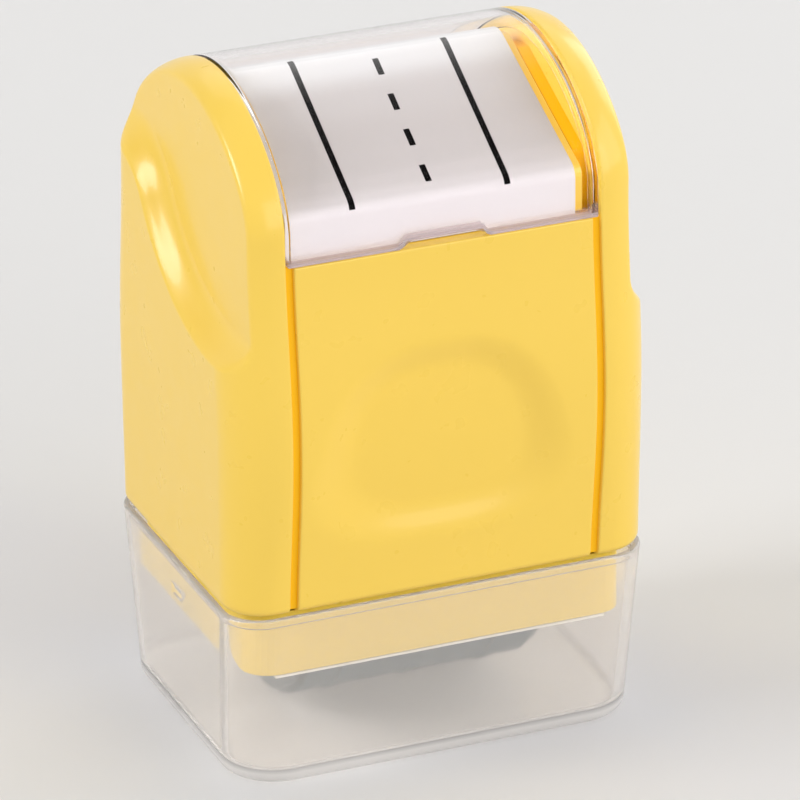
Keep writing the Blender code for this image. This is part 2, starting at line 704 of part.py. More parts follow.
def build_window(clear):
    """Clear arched cover with a flange down each side and a pry notch at its lower front edge."""
    outline = case_profile(WINDOW_Z, 2, ARCH_ROWS)
    section = [(-WINDOW_HALF_WIDTH, 0), (WINDOW_HALF_WIDTH, 0),
               (WINDOW_HALF_WIDTH, WINDOW_FLANGE_DEPTH), (FLANGE_INNER_X, WINDOW_FLANGE_DEPTH),
               (FLANGE_INNER_X, WINDOW_WALL), (-FLANGE_INNER_X, WINDOW_WALL),
               (-FLANGE_INNER_X, WINDOW_FLANGE_DEPTH), (-WINDOW_HALF_WIDTH, WINDOW_FLANGE_DEPTH)]
    rings = []
    for (y, z), (normal_y, normal_z) in zip(outline, inward_normals(outline)):
        rings.append([(x, y + normal_y * inset, z + normal_z * inset) for x, inset in section])
    window = add_object("window_cover", loft(rings), clear)

    low_z = WINDOW_Z - CUT_OVERRUN
    top_z = WINDOW_Z + NOTCH_HEIGHT
    outer_y = -CASE_HALF_DEPTH - CUT_OVERRUN
    inner_y = -DECK_SKIRT_Y
    corners = [(-NOTCH_HALF_WIDTH, low_z), (NOTCH_HALF_WIDTH, low_z), (NOTCH_HALF_WIDTH, WINDOW_Z),
               (NOTCH_HALF_WIDTH - NOTCH_SLANT, top_z), (NOTCH_SLANT - NOTCH_HALF_WIDTH, top_z),
               (-NOTCH_HALF_WIDTH, WINDOW_Z)]
    notch = loft([[(x, y, z) for x, z in corners] for y in (outer_y, inner_y)])
    combine(window, add_cutter("pry_notch", notch, clear), "DIFFERENCE")


def build_deck(yellow):
    """Roof-shaped deck under the label, with two screw bosses and a hole over the filler neck."""
    roof = roof_outline(DECK_Z, 0)
    deck = add_object("label_deck", prism(roof, -DECK_HALF_WIDTH, DECK_HALF_WIDTH), yellow)
    low_z = DECK_Z - CUT_OVERRUN
    under = roof_outline(low_z, DECK_WALL)
    inner_x = DECK_HALF_WIDTH - DECK_WALL
    combine(deck, add_cutter("deck_cavity", prism(under, -inner_x, inner_x), yellow), "DIFFERENCE")
    inner_y = DECK_SKIRT_Y - DECK_WALL
    outer_x = DECK_HALF_WIDTH + CUT_OVERRUN
    gable_foot = box((-outer_x, -inner_y, low_z), (outer_x, inner_y, PLATE_TOP_Z + SEAT_GAP))
    combine(deck, add_cutter("deck_gable_foot", gable_foot, yellow), "DIFFERENCE")

    top_z = RIDGE_Z + CUT_OVERRUN
    head_radius = SCREW_HEAD_RADIUS + SCREW_POCKET_GAP
    boss_radius = head_radius + SCREW_BOSS_WALL
    shank_radius = SCREW_SHANK_RADIUS + SEAT_GAP
    mid_wall = roof_outline(low_z, DECK_WALL / 2)
    roof_core = add_cutter("deck_roof_core", prism(mid_wall, -DECK_HALF_WIDTH, DECK_HALF_WIDTH), yellow)
    foot_z = PLATE_TOP_Z + SEAT_GAP
    boss_outline = [(foot_z, 0), (foot_z, boss_radius), (top_z, boss_radius), (top_z, 0)]
    hole_outline = [(low_z, 0), (low_z, shank_radius), (POCKET_Z, shank_radius),
                    (POCKET_Z, head_radius), (top_z, head_radius), (top_z, 0)]
    places = [Vector((side * SCREW_SPREAD, 0, 0)) for side in (-1, 1)]
    for index, place in enumerate(places):
        boss = add_cutter(f"deck_boss_{index}", turned(boss_outline, "Z", place, SMALL_SEGMENTS), yellow)
        combine(boss, roof_core, "INTERSECT")
        combine(deck, boss, "UNION")
    filler_radius = PLUG_HEAD_RADIUS + PLUG_HOLE_GAP
    filler_outline = [(PLATE_TOP_Z, 0), (PLATE_TOP_Z, filler_radius), (top_z, filler_radius), (top_z, 0)]
    holes = [turned(hole_outline, "Z", place, SMALL_SEGMENTS) for place in places]
    holes.append(turned(filler_outline, "Z", Vector(), SMALL_SEGMENTS))
    combine(deck, add_cutter("deck_holes", joined(holes), yellow), "DIFFERENCE")


def build_label(paper):
    """The label: a folded sheet that follows the deck's roof."""
    foot_z = DECK_Z + LABEL_FOOT_GAP
    outer = roof_outline(foot_z, -SEAT_GAP - LABEL_THICKNESS)
    inner = roof_outline(foot_z, -SEAT_GAP)
    sheet = prism(outer + inner[::-1], -LABEL_HALF_WIDTH, LABEL_HALF_WIDTH)
    add_object("label_insert", sheet, paper)


def build_deck_screw(name, side, steel):
    """A screw from the deck's pocket down into the frame's top beam."""
    seat_z = POCKET_Z + SEAT_GAP
    head_z = seat_z + SCREW_HEAD_HEIGHT
    tip_z = PLATE_TOP_Z - SCREW_THREAD_LENGTH
    tip_radius = SCREW_SHANK_RADIUS / 2
    socket_z = head_z - SCREW_SOCKET_DEPTH
    outline = [(tip_z, 0), (tip_z, tip_radius), (tip_z + tip_radius, SCREW_SHANK_RADIUS),
               (seat_z, SCREW_SHANK_RADIUS), (seat_z, SCREW_HEAD_RADIUS), (head_z, SCREW_HEAD_RADIUS),
               (head_z, SCREW_SOCKET_RADIUS), (socket_z, SCREW_SOCKET_RADIUS), (socket_z, 0)]
    place = Vector((side * SCREW_SPREAD, 0, 0))
    add_object(name, turned(outline, "Z", place, SMALL_SEGMENTS), steel, place)


def axle_room(side):
    """The space that one end of the axle needs beside its plate, with the bush's collar and the clip."""
    near_x = side * PLATE_OUTER_X
    far_x = side * (AXLE_HALF_LENGTH + AXLE_ROOM_GAP)
    radius = BUSH_COLLAR_RADIUS + AXLE_ROOM_GAP
    outline = [(near_x, 0), (near_x, radius), (far_x, radius), (far_x, 0)]
    return turned(outline, "X", Vector((0, 0, ROLLER_Z)), SMALL_SEGMENTS)


def build_frame(yellow):
    """Roller frame: the neck with its web, two side plates, a shelf for the ink and a top beam."""
    web_z = CAP_HEIGHT - WEB_THICKNESS
    middle_x = PLATE_INNER_X + PLATE_THICKNESS / 2
    hole_y = PRINT_RADIUS + WEB_HOLE_GAP
    inner_corner = NECK_CORNER - NECK_WALL
    inner_x = NECK_HALF_WIDTH - NECK_WALL
    rings = [rounded_rectangle(NECK_HALF_WIDTH, NECK_HALF_DEPTH, NECK_CORNER, NECK_Z),
             rounded_rectangle(NECK_HALF_WIDTH, NECK_HALF_DEPTH, NECK_CORNER, CAP_HEIGHT),
             rounded_rectangle(middle_x, hole_y, PLATE_THICKNESS / 2, CAP_HEIGHT),
             rounded_rectangle(middle_x, hole_y, PLATE_THICKNESS / 2, web_z),
             rounded_rectangle(inner_x, NECK_INNER_HALF_DEPTH, inner_corner, web_z),
             rounded_rectangle(inner_x, NECK_INNER_HALF_DEPTH, inner_corner, NECK_Z)]
    frame = add_object("roller_frame", ring_tube(rings), yellow)

    shelf_y = RESERVOIR_HALF_DEPTH + PLATE_THICKNESS
    plate_y = PLATE_HALF_DEPTH
    added = {
        "plate_right": box((PLATE_INNER_X, -plate_y, PLATE_Z), (PLATE_OUTER_X, plate_y, PLATE_TOP_Z)),
        "plate_left": box((-PLATE_OUTER_X, -plate_y, PLATE_Z), (-PLATE_INNER_X, plate_y, PLATE_TOP_Z)),
        "shelf": box((-middle_x, -shelf_y, SHELF_Z), (middle_x, shelf_y, SHELF_TOP_Z)),
        "beam": box((-middle_x, -BEAM_HALF_DEPTH, BEAM_Z), (middle_x, BEAM_HALF_DEPTH, PLATE_TOP_Z)),
    }
    for name, shape in added.items():
        combine(frame, add_cutter(f"frame_{name}", shape, yellow), "UNION")

    far_x = PLATE_OUTER_X + CUT_OVERRUN

    def cross_hole(radius, y, z):
        outline = [(-far_x, 0), (-far_x, radius), (far_x, radius), (far_x, 0)]
        return turned(outline, "X", Vector((0, y, z)), SMALL_SEGMENTS)

    def beam_hole(radius, x):
        low_z = BEAM_Z - CUT_OVERRUN
        high_z = PLATE_TOP_Z + CUT_OVERRUN
        outline = [(low_z, 0), (low_z, radius), (high_z, radius), (high_z, 0)]
        return turned(outline, "Z", Vector((x, 0, 0)), SMALL_SEGMENTS)

    pad_x = PAD_HALF_WIDTH + SEAT_GAP
    pad_y = PAD_HALF_DEPTH + SEAT_GAP
    pilot_radius = SCREW_SHANK_RADIUS + PILOT_GAP
    holes = {
        "pad_hole": box((-pad_x, -pad_y, SHELF_Z - CUT_OVERRUN), (pad_x, pad_y, SHELF_TOP_Z + CUT_OVERRUN)),
        "bush_holes": cross_hole(BUSH_RADIUS + SEAT_GAP, 0, ROLLER_Z),
        "filler_hole": beam_hole(FILLER_RADIUS + PLUG_HOLE_GAP, 0),
        "pilot_left": beam_hole(pilot_radius, -SCREW_SPREAD),
        "pilot_right": beam_hole(pilot_radius, SCREW_SPREAD),
    }
    for side in (-1, 1):
        holes[f"axle_room_{side}"] = axle_room(side)
    for index, (y, z) in enumerate(pin_places()):
        holes[f"pin_holes_{index}"] = cross_hole(COVER_PIN_RADIUS + SEAT_GAP, y, z)
    for name, shape in holes.items():
        combine(frame, add_cutter(f"frame_{name}", shape, yellow), "DIFFERENCE")


def build_reservoir(grey):
    """Ink reservoir on the shelf: a box with a hole over the feed pad and a filler neck on top."""
    reservoir = add_object("ink_reservoir", box(
        (-RESERVOIR_HALF_WIDTH, -RESERVOIR_HALF_DEPTH, RESERVOIR_Z),
        (RESERVOIR_HALF_WIDTH, RESERVOIR_HALF_DEPTH, RESERVOIR_TOP_Z)), grey)
    roof_z = RESERVOIR_TOP_Z - RESERVOIR_WALL
    neck_outline = [(roof_z + RESERVOIR_WALL / 2, 0), (roof_z + RESERVOIR_WALL / 2, FILLER_RADIUS),
                    (FILLER_TOP_Z, FILLER_RADIUS), (FILLER_TOP_Z, 0)]
    neck = turned(neck_outline, "Z", Vector(), SMALL_SEGMENTS)
    combine(reservoir, add_cutter("filler_neck", neck, grey), "UNION")
    inner_x = RESERVOIR_HALF_WIDTH - RESERVOIR_WALL
    inner_y = RESERVOIR_HALF_DEPTH - RESERVOIR_WALL
    floor_z = RESERVOIR_Z + RESERVOIR_WALL
    room = box((-inner_x, -inner_y, floor_z), (inner_x, inner_y, roof_z))
    combine(reservoir, add_cutter("reservoir_room", room, grey), "DIFFERENCE")
    bore_outline = [(roof_z - CUT_OVERRUN, 0), (roof_z - CUT_OVERRUN, FILLER_BORE),
                    (FILLER_TOP_Z + CUT_OVERRUN, FILLER_BORE), (FILLER_TOP_Z + CUT_OVERRUN, 0)]
    bore = turned(bore_outline, "Z", Vector(), SMALL_SEGMENTS)
    combine(reservoir, add_cutter("filler_bore", bore, grey), "DIFFERENCE")
    pad_x = PAD_HALF_WIDTH + SEAT_GAP
    pad_y = PAD_HALF_DEPTH + SEAT_GAP
    pad_hole = box((-pad_x, -pad_y, RESERVOIR_Z - CUT_OVERRUN), (pad_x, pad_y, floor_z + CUT_OVERRUN))
    combine(reservoir, add_cutter("reservoir_pad_hole", pad_hole, grey), "DIFFERENCE")


def build_sponge(felt):
    """The sponge that holds the ink inside the reservoir."""
    half_x = RESERVOIR_HALF_WIDTH - RESERVOIR_WALL - SEAT_GAP
    half_y = RESERVOIR_HALF_DEPTH - RESERVOIR_WALL - SEAT_GAP
    low_z = RESERVOIR_Z + RESERVOIR_WALL + SEAT_GAP
    high_z = RESERVOIR_TOP_Z - RESERVOIR_WALL - SPONGE_TOP_GAP
    add_object("reservoir_sponge", box((-half_x, -half_y, low_z), (half_x, half_y, high_z)), felt)


def build_feed_pad(felt):
    """Felt pad through the shelf, hollowed below to follow the roller."""
    radius = PRINT_RADIUS + PAD_STAND
    half_angle = math.asin(PAD_HALF_DEPTH / radius)
    turns = [half_angle * (2 * step / EDGE_SEGMENTS - 1) for step in range(EDGE_SEGMENTS + 1)]
    outline = [(radius * math.sin(turn), ROLLER_Z + radius * math.cos(turn)) for turn in turns]
    top_z = RESERVOIR_Z + RESERVOIR_WALL
    outline += [(PAD_HALF_DEPTH, top_z), (-PAD_HALF_DEPTH, top_z)]
    add_object("feed_pad", prism(outline, -PAD_HALF_WIDTH, PAD_HALF_WIDTH), felt)


def build_plug(rubber):
    """Rubber plug in the filler neck."""
    head_z = FILLER_TOP_Z + SEAT_GAP
    stem_radius = FILLER_BORE - SEAT_GAP
    outline = [(head_z - PLUG_STEM_LENGTH, 0), (head_z - PLUG_STEM_LENGTH, stem_radius),
               (head_z, stem_radius), (head_z, PLUG_HEAD_RADIUS),
               (head_z + PLUG_HEAD_HEIGHT, PLUG_HEAD_RADIUS), (head_z + PLUG_HEAD_HEIGHT, 0)]
    add_object("refill_plug", turned(outline, "Z", Vector(), SMALL_SEGMENTS), rubber,
               Vector((0, 0, FILLER_TOP_Z)))


def roller_ring(x, radii):
    """One ring of points round the roller's axis, with a radius for each step."""
    points = []
    for step, radius in enumerate(radii):
        angle = 2 * math.pi * step / ROLLER_SEGMENTS
        points.append((x, radius * math.cos(angle), ROLLER_Z + radius * math.sin(angle)))
    return points


def build_print_die(grey_blue, axis_point):
    """Print sleeve with two unbroken raised lines and a row of raised dashes between them."""
    low = [DIE_RADIUS] * ROLLER_SEGMENTS
    high = [PRINT_RADIUS] * ROLLER_SEGMENTS
    dashed = [PRINT_RADIUS if step % DASH_STEPS < DASH_INK_STEPS else DIE_RADIUS
              for step in range(ROLLER_SEGMENTS)]
    bore = [DIE_BORE] * ROLLER_SEGMENTS
    rings = [roller_ring(-DIE_HALF_LENGTH, bore), roller_ring(-DIE_HALF_LENGTH, low)]
    for line_x, raised in ((-SOLID_LINE_OFFSET, high), (0, dashed), (SOLID_LINE_OFFSET, high)):
        half = RIDGE_WIDTH / 2
        rings.append(roller_ring(line_x - half - RIDGE_DRAFT, low))
        rings.append(roller_ring(line_x - half, raised))
        rings.append(roller_ring(line_x + half, raised))
        rings.append(roller_ring(line_x + half + RIDGE_DRAFT, low))
    rings += [roller_ring(DIE_HALF_LENGTH, low), roller_ring(DIE_HALF_LENGTH, bore)]
    add_object("print_die", ring_tube(rings), grey_blue, axis_point)


def build_roller(materials):
    """The turning parts: die, foam, core, end flanges, axle and the axle's clips."""
    axis_point = Vector((0, 0, ROLLER_Z))
    build_print_die(materials["grey_blue"], axis_point)

    length = DIE_HALF_LENGTH
    foam_bore = FOAM_RADIUS - FOAM_WALL
    foam = [(-length, foam_bore), (-length, FOAM_RADIUS), (length, FOAM_RADIUS), (length, foam_bore)]
    add_object("ink_foam", turned(foam, "X", axis_point, ROLLER_SEGMENTS), materials["felt"], axis_point)

    end_x = ROLLER_HALF_LENGTH
    bore = AXLE_RADIUS + SEAT_GAP
    core = [(-end_x, bore), (-end_x, SPIGOT_RADIUS), (-length, SPIGOT_RADIUS), (-length, CORE_RADIUS),
            (length, CORE_RADIUS), (length, SPIGOT_RADIUS), (end_x, SPIGOT_RADIUS), (end_x, bore)]
    add_object("roller_core", turned(core, "X", axis_point, SMALL_SEGMENTS), materials["grey"], axis_point)

    flange_x = end_x - FLANGE_THICKNESS
    flange_bore = SPIGOT_RADIUS + SEAT_GAP
    flange_radius = DIE_RADIUS - FLANGE_INSET
    for side, name in ((-1, "roller_flange_left"), (1, "roller_flange_right")):
        disc = [(side * flange_x, flange_bore), (side * flange_x, flange_radius),
                (side * end_x, flange_radius), (side * end_x, flange_bore)]
        add_object(name, turned(disc, "X", axis_point, ROLLER_SEGMENTS), materials["grey"], axis_point)

    groove_radius = AXLE_RADIUS - CLIP_GROOVE_DEPTH
    groove_x = CLIP_X - RUNNING_GAP
    tip = AXLE_HALF_LENGTH
    half = [(tip, 0), (tip, AXLE_RADIUS - AXLE_CHAMFER), (tip - AXLE_CHAMFER, AXLE_RADIUS),
            (GROOVE_END_X, AXLE_RADIUS), (GROOVE_END_X, groove_radius), (groove_x, groove_radius),
            (groove_x, AXLE_RADIUS)]
    axle = half + [(-x, radius) for x, radius in reversed(half)]
    add_object("axle", turned(axle, "X", axis_point, SMALL_SEGMENTS), materials["steel"], axis_point)

    for side, name in ((-1, "axle_clip_left"), (1, "axle_clip_right")):
        build_axle_clip(name, side, materials["steel"], axis_point)


def build_axle_clip(name, side, steel, axis_point):
    """An open retaining clip in the axle's groove."""
    inner = AXLE_RADIUS - CLIP_GROOVE_DEPTH + SEAT_GAP
    outer = inner + CLIP_WIDTH
    start = CLIP_MOUTH_HALF_ANGLE - math.pi / 2
    sweep = 2 * (math.pi - CLIP_MOUTH_HALF_ANGLE)
    turns = [start + sweep * step / SMALL_SEGMENTS for step in range(SMALL_SEGMENTS + 1)]
    outline = [(outer * math.cos(turn), ROLLER_Z + outer * math.sin(turn)) for turn in turns]
    outline += [(inner * math.cos(turn), ROLLER_Z + inner * math.sin(turn)) for turn in reversed(turns)]
    clip = prism(outline, side * CLIP_X, side * (CLIP_X + CLIP_THICKNESS))
    add_object(name, clip, steel, axis_point)


def build_bush(name, side, white):
    """A collared plain bearing in one side plate."""
    bore = AXLE_RADIUS + RUNNING_GAP
    collar_end = BUSH_COLLAR_X + BUSH_COLLAR_THICKNESS
    outline = [(side * PLATE_INNER_X, bore), (side * PLATE_INNER_X, BUSH_RADIUS),
               (side * BUSH_COLLAR_X, BUSH_RADIUS), (side * BUSH_COLLAR_X, BUSH_COLLAR_RADIUS),
               (side * collar_end, BUSH_COLLAR_RADIUS), (side * collar_end, bore)]
    axis_point = Vector((0, 0, ROLLER_Z))
    add_object(name, turned(outline, "X", axis_point, SMALL_SEGMENTS), white, axis_point)


def build_materials():
    """The part's materials, with linear colours."""
    return {
        "yellow": make_material("yellow_plastic", (0.90, 0.60, 0.10), 0.35),
        "frosted": make_material("frosted_plastic", (0.82, 0.80, 0.77), 0.50, transmission=0.6),
        "clear": make_material("clear_plastic", (0.95, 0.95, 0.95), 0.05, transmission=1.0),
        "paper": make_material("label_paper", (0.86, 0.84, 0.84), 0.60),
        "grey_blue": make_material("print_rubber", (0.20, 0.26, 0.30), 0.60),
        "grey": make_material("grey_plastic", (0.35, 0.35, 0.36), 0.45),
        "white": make_material("bearing_plastic", (0.80, 0.80, 0.78), 0.40),
        "felt": make_material("ink_felt", (0.05, 0.05, 0.07), 0.90),
        "rubber": make_material("plug_rubber", (0.03, 0.03, 0.03), 0.70),
        "steel": make_material("bright_steel", (0.62, 0.62, 0.62), 0.25, metallic=1.0),
    }


def build():
    """Build the whole stamp."""
    clear_scene()
    materials = build_materials()
    yellow = materials["yellow"]
    build_cap(materials["frosted"])
    build_frame(yellow)
    build_side_cover("left_side_cover", -1, yellow)
    build_side_cover("right_side_cover", 1, yellow)
    build_panel("front_panel", -1, yellow)
    build_panel("back_panel", 1, yellow)
    build_deck(yellow)
    build_label(materials["paper"])
    build_window(materials["clear"])
    build_deck_screw("deck_screw_left", -1, materials["steel"])
    build_deck_screw("deck_screw_right", 1, materials["steel"])
    build_reservoir(materials["grey"])
    build_sponge(materials["felt"])
    build_feed_pad(materials["felt"])
    build_plug(materials["rubber"])
    build_roller(materials)
    build_bush("axle_bush_left", -1, materials["white"])
    build_bush("axle_bush_right", 1, materials["white"])


build()
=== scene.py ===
"""Handwriting line roller stamp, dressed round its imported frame.

Metres, +Z up, the front at -Y. Every shape below repeats the case's own rules: a barrel-shaped wall, an arch
on top, a large round outer edge on the side covers, and a scalloped recess in each of them.
"""
import math

import bmesh
import bpy
import numpy as np
from bpy.props import FloatProperty, FloatVectorProperty, PointerProperty
from mathutils import Matrix, Vector


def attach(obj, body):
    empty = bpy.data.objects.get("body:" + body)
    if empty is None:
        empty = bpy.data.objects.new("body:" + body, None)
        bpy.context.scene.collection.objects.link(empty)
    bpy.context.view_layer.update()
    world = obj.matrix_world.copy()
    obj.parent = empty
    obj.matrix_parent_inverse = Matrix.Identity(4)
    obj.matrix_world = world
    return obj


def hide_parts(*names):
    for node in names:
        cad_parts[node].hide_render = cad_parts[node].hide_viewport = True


bl_info = {
    "name": "Handwriting Line Roller Stamp",
    "version": (1, 0, 0),
    "blender": (4, 5, 0),
    "location": "3D View > Sidebar > Stamp",
    "description": "Builds the visible pieces of a handwriting line roller stamp",
    "category": "Object",
}

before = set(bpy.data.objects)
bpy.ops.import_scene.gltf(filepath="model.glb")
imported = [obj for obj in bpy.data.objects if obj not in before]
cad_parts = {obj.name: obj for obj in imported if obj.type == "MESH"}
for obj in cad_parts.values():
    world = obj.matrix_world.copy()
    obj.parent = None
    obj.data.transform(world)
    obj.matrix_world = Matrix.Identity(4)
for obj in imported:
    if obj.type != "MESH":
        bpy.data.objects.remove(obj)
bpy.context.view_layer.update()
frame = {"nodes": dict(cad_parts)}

MM = 0.001
MERGE_DISTANCE = 0.002 * MM
SIDES = (("left", -1), ("right", 1))
ENDS = (("front", -1), ("back", 1))

# Case outline
CASE_Z = 21.9 * MM
CASE_HALF_WIDTH = 25.8 * MM
CASE_HALF_DEPTH = 19.6 * MM
ARCH_Z = 67.6 * MM
ARCH_RISE = 13.68 * MM
ARCH_FLAT_SHARE = 0.028
BULGE_Z = 43.0 * MM
BULGE_HALF_SPAN = 24.0 * MM
FOOT_ROUND = 1.0 * MM
FOOT_EDGE_ROUND = 4.9 * MM
SIDE_EDGE_ROUND = 6.4 * MM
COVER_EDGE_X = 19.05 * MM
PANEL_HALF_WIDTH = 18.1 * MM
PANEL_WALL = 1.8 * MM
PANEL_TOP_Z = 64.36 * MM
PANEL_ROWS = 130
PANEL_COLUMNS = 112
SILL_HALF_WIDTH = 17.3 * MM
SILL_BACK_Y = 15.8 * MM
SILL_FRONT_Y = 18.2 * MM
SILL_TOP_Z = 64.42 * MM
SILL_HEIGHT = 1.2 * MM
LIP_REACH = 1.7 * MM
LIP_ROOT = 0.6 * MM
LIP_THICKNESS = 0.9 * MM
LIP_GAP = 0.3 * MM
GROOVE_DEPTH = 0.55 * MM
GROOVE_OVERLAP = 0.05 * MM
LEDGE_INNER_X = 17.62 * MM
LEDGE_INSET = 3.9 * MM
LEDGE_HALF_DEPTH = 15.6 * MM
LEDGE_FOOT_Z = 62.0 * MM
LEDGE_DROP = 0.1 * MM

# Scalloped recess, seen from the side
RECESS_RAMP = 3.9 * MM
RECESS_CENTRE_Y = -14.0 * MM
RECESS_CENTRE_Z = 76.0 * MM
RECESS_HALF_DEPTH = 25.5 * MM
RECESS_HALF_HEIGHT = 24.0 * MM
RECESS_SWEEP = math.radians(58.0)
RECESS_FLARE_RADIUS = 9.4 * MM
RECESS_EDGE_REACH = 30.0 * MM
RECESS_ROWS_Z = 50.5 * MM
RECESS_FLOOR_BLEND = 0.6 * MM
RECESS_EDGE_BLEND = 1.0 * MM

# Thumb dimple
DIMPLE_X = -0.9 * MM
DIMPLE_Z = 41.2 * MM
DIMPLE_HALF_WIDTH = 15.7 * MM
DIMPLE_HALF_HEIGHT = 12.6 * MM
DIMPLE_TAPER_SHARE = 0.217
DIMPLE_POWER = 2.7
DIMPLE_SOFT_SHARE = 0.38

# Window cover
WINDOW_Z = 64.45 * MM
WINDOW_HALF_WIDTH = 18.75 * MM
FLANGE_INNER_X = 18.25 * MM
FLANGE_DEPTH = 2.4 * MM
NOTCH_HALF_WIDTH = 5.2 * MM
NOTCH_HEIGHT = 0.9 * MM
NOTCH_SLANT = 0.5 * MM
NOTCH_REACH = 2.2 * MM
NOTCH_ROWS = np.array([1.2, 1.7, 2.3]) * MM
WINDOW_SHOULDER = 0.6 * MM
WINDOW_EDGE_ROUND = 0.18 * MM
WINDOW_INNER_ROUND = 0.3 * MM

# Painted refraction along the window's lower edges: a pinkish grey rim with a lighter line, which stands in
# for the light that the edge's thickness bends; heights, and how strong the painted rim is at each
PAINTED_RIM_STOPS = np.array([0.14, 0.24, 0.36, 0.52, 0.58]) * MM
PAINTED_RIM_AMOUNTS = (1.0, 0.25, 1.0, 1.0, 0.0)
RIM_HEIGHT = PAINTED_RIM_STOPS[3]

# Label over the deck's roof
LABEL_HALF_WIDTH = 17.3 * MM
LABEL_SHIFT = -0.9 * MM
LABEL_FOOT_Z = 64.5 * MM
LABEL_LIFT = 0.3 * MM
LABEL_THICKNESS = 0.3 * MM
ROOF_SKIRT_Y = 17.5 * MM
ROOF_BEND_Z = 69.6 * MM
ROOF_RIDGE_Y = 4.0 * MM
ROOF_RIDGE_Z = 78.8 * MM
ROOF_BEND_ROUND = 1.2 * MM
ROOF_RIDGE_ROUND = 3.5 * MM

# Cap
CAP_HALF_WIDTH = 26.0 * MM
CAP_HALF_DEPTH = 19.9 * MM
CAP_HEIGHT = 21.6 * MM
CAP_FLOOR = 1.3 * MM
CAP_TAPER = 0.9 * MM
CAP_RIM_CORNER = 5.0 * MM
CAP_FOOT_CORNER = 6.8 * MM
CAP_FOOT_ROUND = 1.3 * MM
CAP_INNER_ROUND = 1.0 * MM
CAP_RIM_STEP = 0.4 * MM
CAP_RIM_DROP = 1.2 * MM
CAP_LIP_ROUND = 0.3 * MM
CAP_STEP_BEVEL = 0.1 * MM
CAP_OUTER_ROWS = np.array([1.6, 6.0, 12.0, 18.0, 20.9]) * MM
CAP_INNER_ROWS = np.array([14.0, 9.0, 5.0, 2.8]) * MM
CAP_WALL_CLEARNESS = 0.83
CAP_FLOOR_CLEARNESS = 0.42
CAP_CLEARING_RISE = 0.1 * MM
SNAP_Z = 17.3 * MM
SNAP_HEIGHT = 0.7 * MM
SNAP_HALF_LENGTH = 1.6 * MM
SNAP_WALL_BAND = 3.0 * MM

# Print roller
ROLLER_Z = 17.2 * MM
DIE_RADIUS = 13.7 * MM
DIE_BORE = 12.7 * MM
DIE_HALF_LENGTH = 14.2 * MM
FOAM_RADIUS = 12.4 * MM
CORE_RADIUS = 7.4 * MM
SPIGOT_RADIUS = 5.0 * MM
ROLLER_HALF_LENGTH = 15.5 * MM
FLANGE_RADIUS = 13.0 * MM
FLANGE_THICKNESS = 1.0 * MM
SOLID_LINE_OFFSET = 9.5 * MM
RIDGE_HALF_WIDTH = 0.45 * MM
RIDGE_DRAFT = 0.1 * MM
DASH_COUNT = 8
DASH_INK_SHARE = 0.5
DASH_MIDDLE_SHARE = 0.25
DASH_EDGE_SHARE = 0.012
DIE_EDGE_BEVEL = 0.15 * MM
DIE_BETWEEN_X = 5.0 * MM
AXLE_RADIUS = 1.2 * MM
AXLE_HALF_LENGTH = 20.1 * MM
AXLE_GROOVE_X = 18.4 * MM
AXLE_GROOVE_END_X = 19.5 * MM
AXLE_GROOVE_RADIUS = 0.7 * MM
BUSH_BORE = 1.5 * MM
BUSH_RADIUS = 2.0 * MM
BUSH_COLLAR_RADIUS = 2.7 * MM
BUSH_INNER_X = 15.9 * MM
BUSH_COLLAR_X = 17.8 * MM
BUSH_END_X = 18.4 * MM
BUSH_CORNERS = ((BUSH_INNER_X, BUSH_BORE), (BUSH_INNER_X, BUSH_RADIUS), (BUSH_COLLAR_X, BUSH_RADIUS),
                (BUSH_COLLAR_X, BUSH_COLLAR_RADIUS), (BUSH_END_X, BUSH_COLLAR_RADIUS),
                (BUSH_END_X, BUSH_BORE))
TURNED_GAP = 0.3 * MM

# Pale lip under the neck's edge, a painted highlight: it stands in for the bright line along that edge
HIGHLIGHT_LIP_HALF_WIDTH = 20.4 * MM
HIGHLIGHT_LIP_NOSE_Y = 17.95 * MM
HIGHLIGHT_LIP_STEM_Y = 17.3 * MM
HIGHLIGHT_LIP_BACK_Y = 16.6 * MM
HIGHLIGHT_LIP_FOOT_Z = 13.58 * MM
HIGHLIGHT_LIP_NOSE_Z = 13.86 * MM
HIGHLIGHT_LIP_STEM_Z = 14.2 * MM

# Small parts under the label
SCREW_X = 12.0 * MM
SCREW_HEAD_RADIUS = 2.5 * MM
SCREW_SEAT_Z = 73.89 * MM
SCREW_HEAD_HEIGHT = 1.6 * MM
SCREW_SHANK_RADIUS = 1.1 * MM
SCREW_TIP_Z = 62.4 * MM
SCREW_SOCKET_DEPTH = 0.9 * MM
PLUG_HEAD_Z = 74.19 * MM
PLUG_HEAD_RADIUS = 3.6 * MM
PLUG_HEAD_HEIGHT = 0.9 * MM
PLUG_STEM_RADIUS = 1.7 * MM
PLUG_STEM_LENGTH = 6.0 * MM

# Printed lines, as places on the label seen from above
LEFT_LINE_X = -9.9 * MM
DASH_LINE_X = -0.15 * MM
RIGHT_LINE_X = 8.8 * MM
LINE_SKEW = 0.058
LINE_MIDDLE_Y = -7.3 * MM
LINE_TOP_Y = 3.4 * MM
LINE_FOOT_Z = 69.5 * MM
DASH_TOP_Y = 1.63 * MM
DASH_PITCH = 5.23 * MM
DASH_LENGTH = 2.4 * MM
DASHES = 4

# Studio walls: the light that they give, and how bright they look
FILL_STRENGTH = 0.50
SEEN_STRENGTH = 0.80

# Softboxes: the point that they face, then each one's name, place and size in metres, and power in watts
LAMP_TARGET = (0.0, 0.0, 45.0 * MM)
SOFTBOXES = (
    ("back_softbox", (0.30, 0.62, 0.75), (0.9, 0.6), 1.2),
    ("left_softbox", (-0.95, 0.12, 0.60), (0.42, 0.42), 5.0),
    ("right_softbox", (0.85, -0.65, 0.6), (0.9, 0.9), 4.0),
    ("rear_right_softbox", (0.95, 0.50, 0.45), (0.7, 0.7), 3.4),
    ("front_softbox", (0.30, -1.4, 0.60), (1.3, 1.0), 7.0),
)
